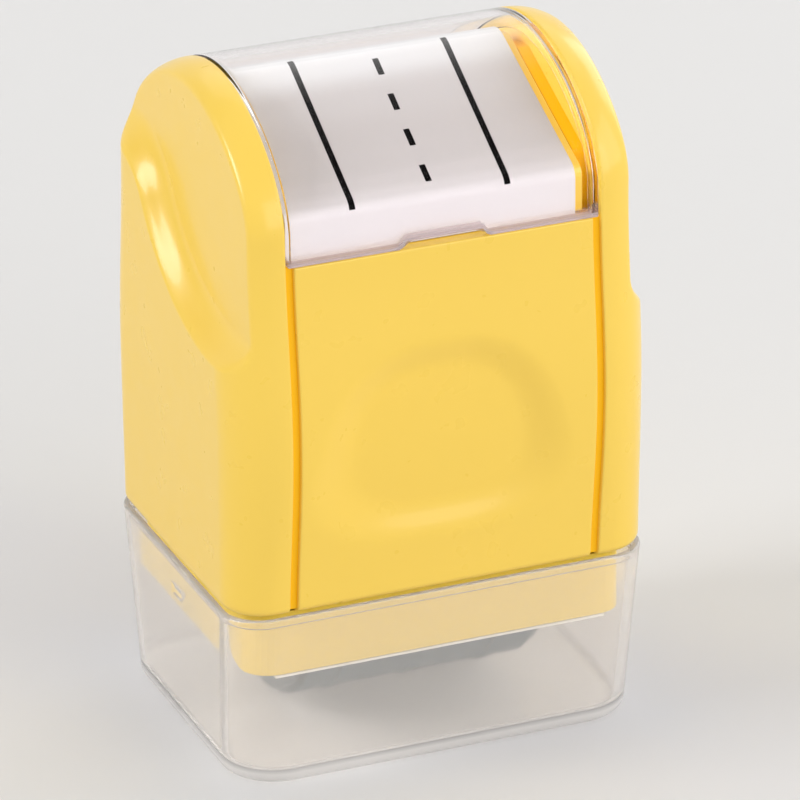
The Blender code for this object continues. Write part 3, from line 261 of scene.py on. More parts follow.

# Paper sweep in metres: its bend, its level depth, its rows, and the way and reach of its change of tone,
# which is partly painted shadow: the floor is darker round the stamp and to its left, lighter to its right
FLOOR_BEND = 0.35
FLOOR_DEPTH = 0.55
FLOOR_HALF_WIDTH = 2.2
FLOOR_ROWS_Y = (-1.6, -0.6, 0.0)
WALL_ROWS_Z = (1.2, 2.4)
FLOOR_FADE_WAY = (0.7375, 0.6741, 0.0)
FLOOR_FADE_START = -40 * MM
FLOOR_FADE_END = 80 * MM

# Camera as fitted to the photographed outline: its lens in millimetres, its place in metres and its axes
CAMERA_LENS = 291.77
CAMERA_PLACE = (-0.2592, -0.630717, 0.347575)
CAMERA_RIGHT = (0.92265933, -0.38558004, -0.00527155)
CAMERA_UP = (0.16426939, 0.38064079, 0.91001547)
CAMERA_BACK = (-0.34887724, -0.84050022, 0.41454077)

# Values that a noise mostly lies between
NOISE_RANGE = (0.3, 0.7)

# Painted shade and reflection on the label: shares up the slope from the skirt to the ridge, and how much of
# the painted grey each has
LABEL_SHADE_REACH_Y = 18.1 * MM
LABEL_SHADE_RISE = 0.6
LABEL_SHADE_STOPS = ((0.0, 0.0), (0.088, 0.10), (0.143, 0.70), (0.21, 0.88), (0.32, 0.98), (0.50, 1.0), (0.74, 0.86),
              (0.90, 0.25), (1.0, 0.0))


def linear_colour(hex_text):
    """A linear colour from an sRGB hex value, by the sRGB curve on each channel."""
    shares = np.array([int(hex_text[start:start + 2], 16) for start in (1, 3, 5)]) / 255
    curved = np.where(shares <= 0.04045, shares / 12.92, ((shares + 0.055) / 1.055) ** 2.4)
    return tuple(float(share) for share in curved)


def length_property(name, about, value, low, high):
    """A size property whose numbers are given in millimetres."""
    return FloatProperty(
        name=name, description=about, default=value * MM, min=low * MM, max=high * MM, precision=5,
        unit="LENGTH", subtype="DISTANCE")


def colour_property(name, about, hex_text):
    """A colour property whose default is an sRGB hex value."""
    return FloatVectorProperty(
        name=name, description=about, default=linear_colour(hex_text), size=3, min=0.0, max=1.0,
        subtype="COLOR")


class StampSizes(bpy.types.PropertyGroup):
    """Sizes of the stamp's visible forms."""
    bulge_depth: length_property("Bulge depth", "How far the front and back walls swell", 1.65, 0.0, 3.0)
    recess_depth: length_property(
        "Recess depth", "Depth of the scalloped recess in each side cover", 2.7, 0.5, 4.0)
    dimple_depth: length_property("Dimple depth", "Depth of the thumb dimple in each panel", 1.4, 0.0, 2.0)
    groove_round: length_property(
        "Groove edge round", "Small radius where a panel meets a side cover", 0.22, 0.05, 0.5)
    window_wall: length_property("Window wall", "Thickness of the clear window cover", 0.9, 0.6, 1.4)
    cap_wall: length_property("Cap wall", "Thickness of the frosted cap's side walls", 1.2, 0.8, 1.5)
    ridge_height: length_property(
        "Ridge height", "Height of the raised printing lines on the roller", 0.2, 0.1, 0.4)
    line_width: length_property("Line width", "Width of the printed lines on the label", 0.74, 0.2, 2.0)


class StampColours(bpy.types.PropertyGroup):
    """Colours of the stamp's finishes."""
    case: colour_property("Case", "Yellow of the moulded case", "#F9D256")
    # Painted shade: the orange that light bouncing deep in the grooves gives the yellow is painted into this
    # colour.
    groove: colour_property("Grooves", "Orange that the yellow takes on deep in the grooves", "#FFC20C")
    # Painted shade: the frame's yellow is darkened as the shade inside the case and the cap would darken it.
    frame: colour_property("Frame", "Yellow of the frame inside the case and the cap", "#E7C845")
    cap: colour_property("Cap", "White of the frosted cap", "#FCF8F4")
    # The label's three colours carry a painted shade and reflection: white at the ridge, grey across the
    # middle, pinkish white at the foot.
    paper: colour_property("Label paper", "White of the label at its ridge", "#D5D8D9")
    paper_tint: colour_property(
        "Label tint", "Grey that the label is printed with across its middle", "#B2AFAE")
    paper_foot: colour_property("Label foot", "Pinkish white of the label at its foot", "#E6E3E6")
    print_ink: colour_property("Printed lines", "Black of the lines on the label", "#080707")
    rubber: colour_property("Print rubber", "Grey-blue of the roller's sleeve", "#2F4855")
    grey: colour_property("Grey mouldings", "Grey of the roller's core and the reservoir", "#46545C")
    stamp_ink: colour_property("Stamp ink", "Ink that the felt and foam hold", "#2B2C38")
    # The floor's tones hold a painted shadow: the floor round the stamp is darker than in front of it and
    # behind.
    floor_front: colour_property("Floor in front", "Floor nearest the camera", "#DDDCDB")
    floor: colour_property("Floor", "Floor round the stamp", "#D9D8D9")
    backdrop: colour_property("Backdrop", "Backdrop behind the stamp", "#DEDDDC")


def sizes():
    """The sizes that the user has set."""
    return bpy.context.scene.stamp_sizes


def colours():
    """The colours that the user has set."""
    return bpy.context.scene.stamp_colours


def quarter(steps):
    """Angles of a quarter turn, from nothing to 90 degrees, in equal steps."""
    return np.linspace(0.0, math.pi / 2, steps + 1)


def bulge_share(z):
    """Swell of the barrel: the square of a cosine, 1 at its widest height and 0 past its half span."""
    offset = np.clip((z - BULGE_Z) / BULGE_HALF_SPAN, -1, 1)
    return np.cos(offset * math.pi / 2) ** 2


def wall_depth(z):
    """Half depth of the front and back walls: the plain depth and the barrel's swell."""
    return CASE_HALF_DEPTH + sizes().bulge_depth * bulge_share(z)


def edge_round(z):
    """Radius of the side covers' outer edge: full above the widest height, less by the swell below it."""
    low = FOOT_EDGE_ROUND + (SIDE_EDGE_ROUND - FOOT_EDGE_ROUND) * bulge_share(z)
    return np.where(z >= BULGE_Z, SIDE_EDGE_ROUND, low)


def arch_line(angles):
    """The arch's outline: an ellipse, drawn in by the squared sine of the double angle."""
    share = 1 - ARCH_FLAT_SHARE * np.sin(2 * angles) ** 2
    y = -CASE_HALF_DEPTH * share * np.cos(angles)
    z = ARCH_Z + ARCH_RISE * share * np.sin(angles)
    return np.stack([y, z], axis=-1)


def inward_normals(line):
    """Unit normals of an outline in y and z, to its inside: the tangent by differences, turned a quarter."""
    tangent = np.gradient(line, axis=0)
    tangent /= np.linalg.norm(tangent, axis=1, keepdims=True)
    normal = np.stack([tangent[:, 1], -tangent[:, 0]], axis=-1)
    normal[0] = (1.0, 0.0)
    normal[-1] = (-1.0, 0.0)
    return normal


def soft_minimum(first, second, width):
    """The lower of two heights, blended by a parabola where they lie within the width of each other."""
    share = np.clip(0.5 + 0.5 * (second - first) / width, 0, 1)
    return second + (first - second) * share - width * share * (1 - share)


def smooth_step(share):
    """A share from 0 to 1, eased at both ends by 3 s squared less 2 s cubed."""
    share = np.clip(share, 0, 1)
    return share * share * (3 - 2 * share)


def round_outline(corners, radii, steps=4):
    """A closed or open polyline whose inner corners are arcs: each arc turns between the points where the
    circle of its radius touches both sides."""
    corners = np.asarray(corners, dtype=float)
    points = [corners[:1]]
    for index in range(1, len(corners) - 1):
        corner = corners[index]
        before = corners[index - 1] - corner
        after = corners[index + 1] - corner
        before /= np.linalg.norm(before)
        after /= np.linalg.norm(after)
        half = math.acos(float(np.clip(before @ after, -1, 1))) / 2
        radius = radii[index - 1]
        if radius <= 0 or half > math.radians(89.5):
            points.append(corner[None])
            continue
        bisector = (before + after) / np.linalg.norm(before + after)
        middle = corner + bisector * radius / math.sin(half)
        start = corner + before * radius / math.tan(half) - middle
        end = corner + after * radius / math.tan(half) - middle
        shares = np.linspace(0, 1, steps + 1)[:, None]
        sweep = math.pi - 2 * half
        spokes = (start * np.sin((1 - shares) * sweep) + end * np.sin(shares * sweep)) / math.sin(sweep)
        points.append(middle + spokes)
    points.append(corners[-1:])
    return np.concatenate(points)


def add_piece(name, points, faces, maker, smooth_angle=35.0):
    """Make an object from points and faces: merge doubled points, turn faces outwards, shade smooth below
    the angle."""
    mesh = bpy.data.meshes.new(name)
    mesh.from_pydata(points.reshape(-1, 3).tolist(), [], faces)
    shape = bmesh.new()
    shape.from_mesh(mesh)
    bmesh.ops.remove_doubles(shape, verts=shape.verts, dist=MERGE_DISTANCE)
    bmesh.ops.dissolve_degenerate(shape, edges=shape.edges, dist=MERGE_DISTANCE / 2)
    bmesh.ops.recalc_face_normals(shape, faces=shape.faces)
    shape.to_mesh(mesh)
    shape.free()
    mesh.shade_smooth()
    mesh.set_sharp_from_angle(angle=math.radians(smooth_angle))
    mesh.materials.append(shared(maker))
    return add_object(name, mesh)


def add_object(name, data):
    """Put a mesh, a lamp or a camera into the scene as an object."""
    item = bpy.data.objects.new(name, data)
    bpy.context.scene.collection.objects.link(item)
    return item


def grid_faces(rows, columns, wrap_rows=False, wrap_columns=False, first=0):
    """Quads of a grid of points, row by row, joined round where it wraps."""
    indices = first + np.arange(rows * columns).reshape(rows, columns)
    if wrap_rows:
        indices = np.concatenate([indices, indices[:1]])
    if wrap_columns:
        indices = np.concatenate([indices, indices[:, :1]], axis=1)
    quads = np.stack([indices[:-1, :-1], indices[:-1, 1:], indices[1:, 1:], indices[1:, :-1]], axis=-1)
    return quads.reshape(-1, 4).tolist()


def tube_faces(rings, first=0):
    """Faces of a lofted body: quads between rings, and one face over the first and the last ring."""
    rows, columns = rings.shape[:2]
    faces = grid_faces(rows, columns, wrap_columns=True, first=first)
    faces.append(list(range(first, first + columns)))
    faces.append(list(range(first + (rows - 1) * columns, first + rows * columns)))
    return faces


def carried_across(x, outline):
    """Rings of one outline of (y, z), repeated at each place across."""
    return np.stack(np.broadcast_arrays(x[:, None], outline[None, :, 0], outline[None, :, 1]), axis=-1)


def add_bodies(name, maker, *bodies, smooth_angle=35.0):
    """Make one object from one or more lofted bodies."""
    faces = []
    count = 0
    for rings in bodies:
        faces += tube_faces(rings, first=count)
        count += rings.size // 3
    points = np.concatenate([rings.reshape(-1, 3) for rings in bodies])
    return add_piece(name, points, faces, maker, smooth_angle)


def turned_piece(name, corners, radius, maker, upright_x=None, segments=96, hollow=True):
    """A turned part from corners of (along, radius): they are rounded, then carried round the roller's axle,
    or round an upright axis at a place across, as cosine and sine. A hollow one closes on itself, a solid one
    starts and ends on the axis."""
    if hollow:
        middle = [(corners[0][0] + corners[-1][0]) / 2, (corners[0][1] + corners[-1][1]) / 2]
        corners = [middle] + corners + [middle]
    outline = round_outline(corners, [radius] * (len(corners) - 2), steps=3)
    if hollow:
        outline = outline[:-1]
    angles = np.linspace(0, 2 * math.pi, segments, endpoint=False)
    along = np.repeat(outline[:, :1], segments, axis=1)
    across = outline[:, 1:] * np.cos(angles)
    up = outline[:, 1:] * np.sin(angles)
    if upright_x is None:
        points = np.stack([along, across, up + ROLLER_Z], axis=-1)
    else:
        points = np.stack([across + upright_x, up, along], axis=-1)
    faces = grid_faces(len(outline), segments, wrap_rows=hollow, wrap_columns=True)
    return add_piece(name, points, faces, maker)


def square_ring(start, end, inner, outer):
    """Corners of a plain ring between two places along its axis and two radii."""
    return [(start, inner), (start, outer), (end, outer), (end, inner)]


def both_ways(half):
    """Corners of (along, radius) followed by their mirror images, last one first."""
    return half + [(-along, radius) for along, radius in reversed(half)]


def add_node(material, kind, values=None, links=None, **settings):
    """Add one node to a material, with its settings, its input values and its links."""
    tree = material.node_tree
    node = tree.nodes.new(kind)
    for name, value in settings.items():
        setattr(node, name, value)
    for socket, value in (values or {}).items():
        node.inputs[socket].default_value = value
    for socket, source in (links or {}).items():
        tree.links.new(source, node.inputs[socket])
    return node


def start_material(name, values):
    """A material with an empty tree but for a Principled shader with the given socket values."""
    material = bpy.data.materials.new(name)
    material.use_nodes = True
    material.node_tree.nodes.clear()
    shader = add_node(material, "ShaderNodeBsdfPrincipled", values)
    add_node(material, "ShaderNodeOutputMaterial", links={"Surface": shader.outputs["BSDF"]})
    return material, shader


def let_lamps_through(material, shader, tint):
    """Pass the lamps' straight light through the surface, dimmed by a tint, so that what lies behind it is
    lit as it is behind the real plastic."""
    path = add_node(material, "ShaderNodeLightPath")
    film = add_node(material, "ShaderNodeBsdfTransparent", {"Color": (*linear_colour(tint), 1.0)})
    mix = add_node(material, "ShaderNodeMixShader", links={
        0: path.outputs["Is Shadow Ray"], 1: shader.outputs["BSDF"], 2: film.outputs["BSDF"]})
    output = next(node for node in material.node_tree.nodes if node.type == "OUTPUT_MATERIAL")
    link(material, mix.outputs["Shader"], output.inputs["Surface"])


def grain(material, size, detail=2.0, rough=0.5):
    """Noise whose grains are about one size across, on the piece's own place."""
    place = add_node(material, "ShaderNodeTexCoord")
    noise = add_node(material, "ShaderNodeTexNoise",
                     {"Scale": 1 / size, "Detail": detail, "Roughness": rough},
                     {"Vector": place.outputs["Object"]})
    return noise.outputs["Fac"]


def object_axes(material):
    """The piece's own place as three sockets."""
    place = add_node(material, "ShaderNodeTexCoord")
    axes = add_node(material, "ShaderNodeSeparateXYZ", links={"Vector": place.outputs["Object"]})
    return tuple(axes.outputs[name] for name in "XYZ")


def stretch(material, source, low, high, start=0.0, end=1.0):
    """A value that runs from a low to a high one while its source runs from a start to an end."""
    node = add_node(material, "ShaderNodeMapRange",
                    {"From Min": start, "From Max": end, "To Min": low, "To Max": high}, {"Value": source})
    return node.outputs["Result"]


def vary_gloss(material, shader, noise, low, high):
    """Roughness that a noise moves between a low and a high value, over the range that noise mostly has."""
    link(material, stretch(material, noise, low, high, *NOISE_RANGE), shader.inputs["Roughness"])


def link(material, source, target):
    """Join an output socket to an input socket."""
    material.node_tree.links.new(source, target)


def bump(material, shader, height, strength, distance):
    """Raise the surface by a height socket through a bump node."""
    node = add_node(material, "ShaderNodeBump", {"Strength": strength, "Distance": distance},
                    {"Height": height})
    link(material, node.outputs["Normal"], shader.inputs["Normal"])


def two_tone(material, shader, factor, first, second):
    """Colour that runs between two near tones with a factor socket."""
    mix = add_node(material, "ShaderNodeMix", {"A": (*first, 1.0), "B": (*second, 1.0)},
                   {"Factor": factor}, data_type="RGBA")
    link(material, mix.outputs["Result"], shader.inputs["Base Color"])


def colour_ramp(material, factor, tones):
    """Colour that runs softly through tones, each at its share of the factor."""
    ramp = add_node(material, "ShaderNodeValToRGB", links={"Fac": factor})
    ramp.color_ramp.interpolation = "EASE"
    stops = ramp.color_ramp.elements
    stops[0].position, stops[1].position = tones[0][0], tones[-1][0]
    for position, _ in tones[1:-1]:
        stops.new(position)
    for stop, (_, tone) in zip(stops, tones):
        stop.color = (*tone, 1.0)
    return ramp.outputs["Color"]


def shade(colour, factor):
    """A linear colour made a little darker or lighter."""
    return tuple(min(channel * factor, 1.0) for channel in colour)


def mottled(name, values, colour, size, tones, gloss, **grains):
    """A material whose one noise, of a real size, moves its tone and its roughness a little."""
    material, shader = start_material(name, values)
    noise = grain(material, size, **grains)
    two_tone(material, shader, noise, shade(colour, tones[0]), shade(colour, tones[1]))
    vary_gloss(material, shader, noise, *gloss)
    return material, shader, noise


def moulded_yellow_abs():
    """ABS moulded in a nearly polished tool: an even yellow with a satin gloss."""
    return yellow_abs("moulded_yellow_abs", colours().case)


def shaded_yellow_abs():
    """The same ABS on the frame, whose neck stands in the cap, with painted shade: a deeper yellow, as no
    open light falls on it."""
    return yellow_abs("shaded_yellow_abs", colours().frame)


def yellow_abs(name, colour):
    """Satin yellow ABS in one of its tones."""
    material, shader = start_material(name, {
        "IOR": 1.53, "Specular IOR Level": 0.36, "Coat Weight": 0.30, "Coat Roughness": 0.11,
        "Coat IOR": 1.5})
    # Flow of the melt shows as a broad, faint change of tone about 25 mm across.
    flow = grain(material, 25 * MM, detail=1.0)
    two_tone(material, shader, flow, shade(colour, 0.985), shade(colour, 1.01))
    # Gloss varies over about 3 mm, as handling leaves it.
    vary_gloss(material, shader, grain(material, 3 * MM), 0.27, 0.33)
    return material


def shadowed_yellow_abs():
    """The same ABS on the lips in the grooves and on the ledge beside the label, with painted shade: the
    orange that light bouncing from yellow to yellow gives deep there is painted into its colour. The melt's
    flow shows over about 25 mm."""
    return mottled("shadowed_yellow_abs", {"IOR": 1.53, "Specular IOR Level": 0.2}, colours().groove, 25 * MM,
                   (0.97, 1.02), (0.32, 0.40), detail=1.0)[0]


def frosted_polypropylene():
    """Polypropylene with a milky haze: see-through, with a soft gloss that changes over about 9 mm, and
    whiter where its floor is thick."""
    material, shader = start_material("frosted_polypropylene", {
        "Base Color": (*colours().cap, 1.0), "IOR": 1.40})
    vary_gloss(material, shader, grain(material, 9 * MM, detail=1.0), 0.10, 0.14)
    clear = stretch(material, object_axes(material)[2], CAP_FLOOR_CLEARNESS, CAP_WALL_CLEARNESS,
                      CAP_FLOOR + CAP_CLEARING_RISE, CAP_FLOOR + CAP_INNER_ROUND)
    link(material, clear, shader.inputs["Transmission Weight"])
    let_lamps_through(material, shader, "#FEFEFE")
    return material


def clear_polystyrene():
    """Crystal polystyrene, moulded in a polished tool: clear, with a sharp gloss, and along its lower edges a
    painted pinkish grey rim that stands in for the light that the edge's thickness bends."""
    material, shader = start_material("clear_polystyrene", {
        "IOR": 1.34, "Specular Tint": (0.05, 0.05, 0.05, 1.0)})
    # Painted refraction: the rim attribute greys the colour and cuts the clearness along the lower edges.
    rim = add_node(material, "ShaderNodeAttribute", attribute_name="rim").outputs["Fac"]
    two_tone(material, shader, rim, linear_colour("#FFFCFC"), linear_colour("#CDBBBC"))
    link(material, stretch(material, rim, 1.0, 0.40), shader.inputs["Transmission Weight"])
    # The polished tool's gloss changes a little over about 9 mm.
    vary_gloss(material, shader, grain(material, 9 * MM, detail=0.0), 0.01, 0.03)
    let_lamps_through(material, shader, "#FEFDFD")
    return material


def calculate(material, operation, *items):
    """One step of arithmetic between sockets or numbers."""
    values = {index: float(item) for index, item in enumerate(items) if isinstance(item, (int, float))}
    links = {index: item for index, item in enumerate(items) if index not in values}
    return add_node(material, "ShaderNodeMath", values, links, operation=operation).outputs["Value"]


def printed_label_paper():
    """Coated label paper with handwriting guide lines: white, faintly fibrous, with flat black lines, and a
    painted shade and reflection that greys its middle.
    """
    material, shader = start_material("printed_label_paper", {"IOR": 1.48, "Specular IOR Level": 0.03})

    def work(operation, *items):
        """One step of arithmetic in this material."""
        return calculate(material, operation, *items)

    x, y, z = object_axes(material)
    level = work("SUBTRACT", x, work("MULTIPLY", work("SUBTRACT", y, LINE_MIDDLE_Y), LINE_SKEW))
    masks = []
    for line_x in (LEFT_LINE_X, RIGHT_LINE_X, DASH_LINE_X):
        away = work("ABSOLUTE", work("SUBTRACT", level, line_x))
        masks.append(work("LESS_THAN", away, sizes().line_width / 2))
    # A dash is where the distance down from the first dash, in dash pitches, has a small enough remainder.
    down = work("DIVIDE", work("SUBTRACT", DASH_TOP_Y, y), DASH_PITCH)
    inked = work("LESS_THAN", work("FRACT", down), DASH_LENGTH / DASH_PITCH)
    inked = work("MULTIPLY", inked, work("GREATER_THAN", down, 0.0))
    inked = work("MULTIPLY", inked, work("LESS_THAN", down, DASHES))
    lines = work("MAXIMUM", work("MAXIMUM", masks[0], masks[1]), work("MULTIPLY", masks[2], inked))
    front = work("MULTIPLY", work("LESS_THAN", y, LINE_TOP_Y), work("GREATER_THAN", z, LINE_FOOT_Z))
    lines = work("MULTIPLY", lines, front)
    # Painted shade and reflection: the paper's colour fades from white at the ridge to a pinkish grey across
    # the slope, and lightens to its foot.
    ridge, tint, foot = (np.array(tone) for tone in (colours().paper, colours().paper_tint,
                                                     colours().paper_foot))
    run = work("ADD", y, work("MULTIPLY", z, LABEL_SHADE_RISE))
    reach = stretch(material, run, 0.0, 1.0, LABEL_SHADE_RISE * LABEL_FOOT_Z - LABEL_SHADE_REACH_Y,
                      LABEL_SHADE_RISE * ROOF_RIDGE_Z + ROOF_RIDGE_Y)
    tones = []
    for at, amount in LABEL_SHADE_STOPS:
        plain = ridge if at > 0.5 else foot
        tones.append((at, plain + (tint - plain) * amount))
    fade = colour_ramp(material, reach, tones)
    # Paper fibres are about 0.05 mm, drawn at 0.4 mm so that they show.
    fibre = grain(material, 0.4 * MM, detail=4.0)
    tone = add_node(material, "ShaderNodeMix", {"B": (0.985, 0.985, 0.985, 1.0)},
                    {"Factor": fibre, "A": fade}, data_type="RGBA", blend_type="MULTIPLY")
    mix = add_node(material, "ShaderNodeMix", {"B": (*colours().print_ink, 1.0)},
                   {"Factor": lines, "A": tone.outputs["Result"]}, data_type="RGBA")
    link(material, mix.outputs["Result"], shader.inputs["Base Color"])
    link(material, stretch(material, lines, 0.62, 0.55), shader.inputs["Roughness"])
    bump(material, shader, fibre, 0.12, 0.01 * MM)
    return material


def moulded_print_rubber():
    """Grey-blue rubber of the print sleeve: matt, with a dusty bloom of about 1.5 mm."""
    material, shader, _ = mottled("moulded_print_rubber", {"IOR": 1.52, "Specular IOR Level": 0.3},
                                  colours().rubber, 1.5 * MM, (0.9, 1.12), (0.5, 0.68), detail=4.0)
    # The sleeve's ground skin is about 0.1 mm coarse, drawn at 0.3 mm.
    bump(material, shader, grain(material, 0.3 * MM, detail=3.0), 0.3, 0.02 * MM)
    return material


def moulded_grey_abs():
    """Grey ABS of the roller's core, flanges and ink reservoir: satin and even, with the melt's flow over
    about 12 mm."""
    material, shader, _ = mottled("moulded_grey_abs", {"IOR": 1.53}, colours().grey, 12 * MM, (0.96, 1.03),
                                  (0.36, 0.44), detail=1.0)
    # The tool's grain is about 0.1 mm, drawn at 0.3 mm.
    bump(material, shader, grain(material, 0.3 * MM, detail=3.0), 0.2, 0.012 * MM)
    return material


def turned_natural_acetal():
    """Natural acetal of the axle's bushes and of the pale lips under the neck, which are a painted highlight:
    waxy white that lets a little light in, with a swirl of about 2 mm."""
    return mottled("turned_natural_acetal", {
        "IOR": 1.48, "Subsurface Weight": 0.2, "Subsurface Radius": (1.0, 0.9, 0.8),
        "Subsurface Scale": 1.0 * MM}, linear_colour("#ECEBE4"), 2 * MM, (0.97, 1.0), (0.32, 0.42))[0]


def inked_felt():
    """Felt and foam soaked with ink: dark, matt and porous, with pores of about 0.6 mm."""
    material, shader, pores = mottled("inked_felt", {"IOR": 1.4, "Sheen Weight": 0.15}, colours().stamp_ink,
                                      0.6 * MM, (0.6, 1.5), (0.7, 0.95), detail=5.0, rough=0.7)
    bump(material, shader, pores, 0.6, 0.08 * MM)
    return material


def moulded_plug_rubber():
    """Black rubber of the filler plug: matt, with a faint bloom of about 1 mm."""
    return mottled("moulded_plug_rubber", {"IOR": 1.52}, linear_colour("#2A2A2B"), 1.0 * MM, (0.8, 1.3),
                   (0.5, 0.7), detail=4.0)[0]


def bright_drawn_steel():
    """Drawn and turned steel: bright, with fine marks of the tool, drawn at 0.5 mm so that they show."""
    return mottled("bright_drawn_steel", {"Metallic": 1.0}, linear_colour("#C9C8C5"), 0.5 * MM, (0.92, 1.04),
                   (0.2, 0.34), detail=3.0)[0]


def shared(maker):
    """The material that a maker makes, made once."""
    return bpy.data.materials.get(maker.__name__) or maker()


def place_on(piece, body, slot, *nodes):
    """Let a piece ride on a body and stand for its CAD nodes, which are hidden. The slot is not used."""
    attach(piece, body)
    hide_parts(*nodes)


def recess_edge():
    """The recess's lower edge seen from the side: level, then part of an ellipse, then an arc that bends the
    other way and leaves level."""
    turn = np.linspace(0, RECESS_SWEEP, 60)
    y = RECESS_CENTRE_Y + RECESS_HALF_DEPTH * np.sin(turn)
    z = RECESS_CENTRE_Z - RECESS_HALF_HEIGHT * np.cos(turn)
    slope = math.atan2(RECESS_HALF_HEIGHT * math.sin(RECESS_SWEEP),
                       RECESS_HALF_DEPTH * math.cos(RECESS_SWEEP))
    flare_y = y[-1] + RECESS_FLARE_RADIUS * math.sin(slope)
    flare_z = z[-1] - RECESS_FLARE_RADIUS * math.cos(slope)
    flare = np.linspace(slope, 0, 30)[1:]
    y = np.concatenate([[-RECESS_EDGE_REACH], y, flare_y - RECESS_FLARE_RADIUS * np.sin(flare),
                        [RECESS_EDGE_REACH]])
    z = np.concatenate([z[:1], z, flare_z + RECESS_FLARE_RADIUS * np.cos(flare),
                        [flare_z + RECESS_FLARE_RADIUS]])
    return np.stack([y, z], axis=-1)


def recess_reach(y, z):
    """Signed distance from the recess's lower edge, above it positive: the least distance to any of its
    segments."""
    edge = recess_edge()
    start = edge[:-1]
    step = edge[1:] - start
    length = (step ** 2).sum(axis=1)
    place = np.stack([y.ravel(), z.ravel()], axis=-1)
    nearest = np.full(len(place), 1.0)
    for (y0, z0), (dy, dz), squared in zip(start, step, length):
        share = np.clip(((place[:, 0] - y0) * dy + (place[:, 1] - z0) * dz) / squared, 0, 1)
        away = np.hypot(place[:, 0] - y0 - share * dy, place[:, 1] - z0 - share * dz)
        nearest = np.minimum(nearest, away)
    above = place[:, 1] > np.interp(place[:, 0], edge[:, 0], edge[:, 1])
    return np.where(above, nearest, -nearest).reshape(y.shape)


def recessed(x, y, z):
    """Lower a cheek's outer surface into its recess: half a parabola falls from the edge to the floor, and
    both of its ends are blended."""
    depth = sizes().recess_depth
    reach = recess_reach(y, z)
    share = np.clip(reach / RECESS_RAMP, 0, 1)
    fall = depth * (1 - (1 - share) ** 2)
    height = np.where(reach > 0, CASE_HALF_WIDTH - fall, CASE_HALF_WIDTH - 2 * reach)
    width = np.interp(x, [CASE_HALF_WIDTH - depth, CASE_HALF_WIDTH],
                      [RECESS_FLOOR_BLEND, RECESS_EDGE_BLEND])
    return soft_minimum(x, height, width)


def case_rows():
    """Rows of a side cover: its outline from the front foot over the arch, each row's place, normal, inset at
    the foot and point on the spine. Rows lie close where the recess's edge crosses them."""
    turn = quarter(6)[:-1]
    foot_z = CASE_Z + FOOT_ROUND * (1 - np.cos(turn))
    foot_inset = FOOT_ROUND * (1 - np.sin(turn))
    wall_z = np.concatenate([np.linspace(CASE_Z + FOOT_ROUND, RECESS_ROWS_Z, 34, endpoint=False),
                             np.linspace(RECESS_ROWS_Z, ARCH_Z, 110, endpoint=False)])
    front_z = np.concatenate([foot_z, wall_z])
    front = np.stack([-wall_depth(front_z), front_z], axis=-1)
    arch = arch_line(math.pi * smooth_ends(np.linspace(0, 1, 121)))
    line = np.concatenate([front, arch, front[::-1] * (-1, 1)])
    inset = np.concatenate([foot_inset, np.zeros(len(wall_z))])
    insets = np.concatenate([inset, np.zeros(len(arch)), inset[::-1]])
    spine = np.stack([np.zeros(len(line)), np.minimum(line[:, 1], ARCH_Z)], axis=-1)
    return line, inward_normals(line), insets, spine


def smooth_ends(share):
    """Shares that start and end with shorter steps: a mix of themselves and their cosine ease."""
    return 0.6 * share + 0.4 * (1 - np.cos(math.pi * share)) / 2


def cheek_points(side):
    """A side cover as a grid: rows along the case's outline, columns from the spine of the inner wall out to
    the groove's edge, round the outer edge by a quarter circle, and in to the spine of the outer face."""
    line, normal, inset, spine = case_rows()
    full = edge_round(line[:, 1])[:, None]
    inset = inset[:, None]
    small = sizes().groove_round
    inner_turn = quarter(3)[None]
    edge_depth = inset + small * (1 - np.sin(inner_turn))
    edge_x = COVER_EDGE_X + small * (1 - np.cos(inner_turn)) + np.zeros_like(edge_depth)
    turn = quarter(34)[None]
    radius = full - inset
    arc_depth = full - radius * np.cos(turn)
    arc_x = CASE_HALF_WIDTH - full + radius * np.sin(turn)
    depth = np.concatenate([edge_depth, arc_depth], axis=1)
    x = np.concatenate([edge_x, arc_x], axis=1)
    y = line[:, :1] + normal[:, :1] * depth
    z = line[:, 1:] + normal[:, 1:] * depth
    shares = np.linspace(0, 1, 62)[None, 1:]
    face_y = y[:, -1:] + (spine[:, :1] - y[:, -1:]) * shares
    face_z = z[:, -1:] + (spine[:, 1:] - z[:, -1:]) * shares
    face_x = CASE_HALF_WIDTH - inset + np.zeros_like(face_y)
    y = np.concatenate([spine[:, :1], y, face_y], axis=1)
    z = np.concatenate([spine[:, 1:], z, face_z], axis=1)
    x = np.concatenate([np.full((len(line), 1), COVER_EDGE_X), x, face_x], axis=1)
    x[:, 1:] = recessed(x[:, 1:], y[:, 1:], z[:, 1:])
    return np.stack([side * x, y, z], axis=-1)


def lip_points(side, end):
    """The lip behind a panel's edge, stepped forward in the groove: an L carried up the wall at fixed depths
    behind it."""
    z = np.linspace(CASE_Z + FOOT_ROUND / 2, PANEL_TOP_Z, 40)
    wall = wall_depth(z)
    behind = wall - PANEL_WALL - LIP_GAP
    groove_x = PANEL_HALF_WIDTH - GROOVE_OVERLAP
    corners = [(COVER_EDGE_X - LIP_REACH, behind), (groove_x, behind), (groove_x, wall - GROOVE_DEPTH),
               (COVER_EDGE_X + LIP_ROOT, wall - GROOVE_DEPTH),
               (COVER_EDGE_X + LIP_ROOT, behind - LIP_THICKNESS),
               (COVER_EDGE_X - LIP_REACH, behind - LIP_THICKNESS)]
    return np.stack([np.stack([np.full_like(z, side * x), end * y, z], axis=-1) for x, y in corners], axis=1)


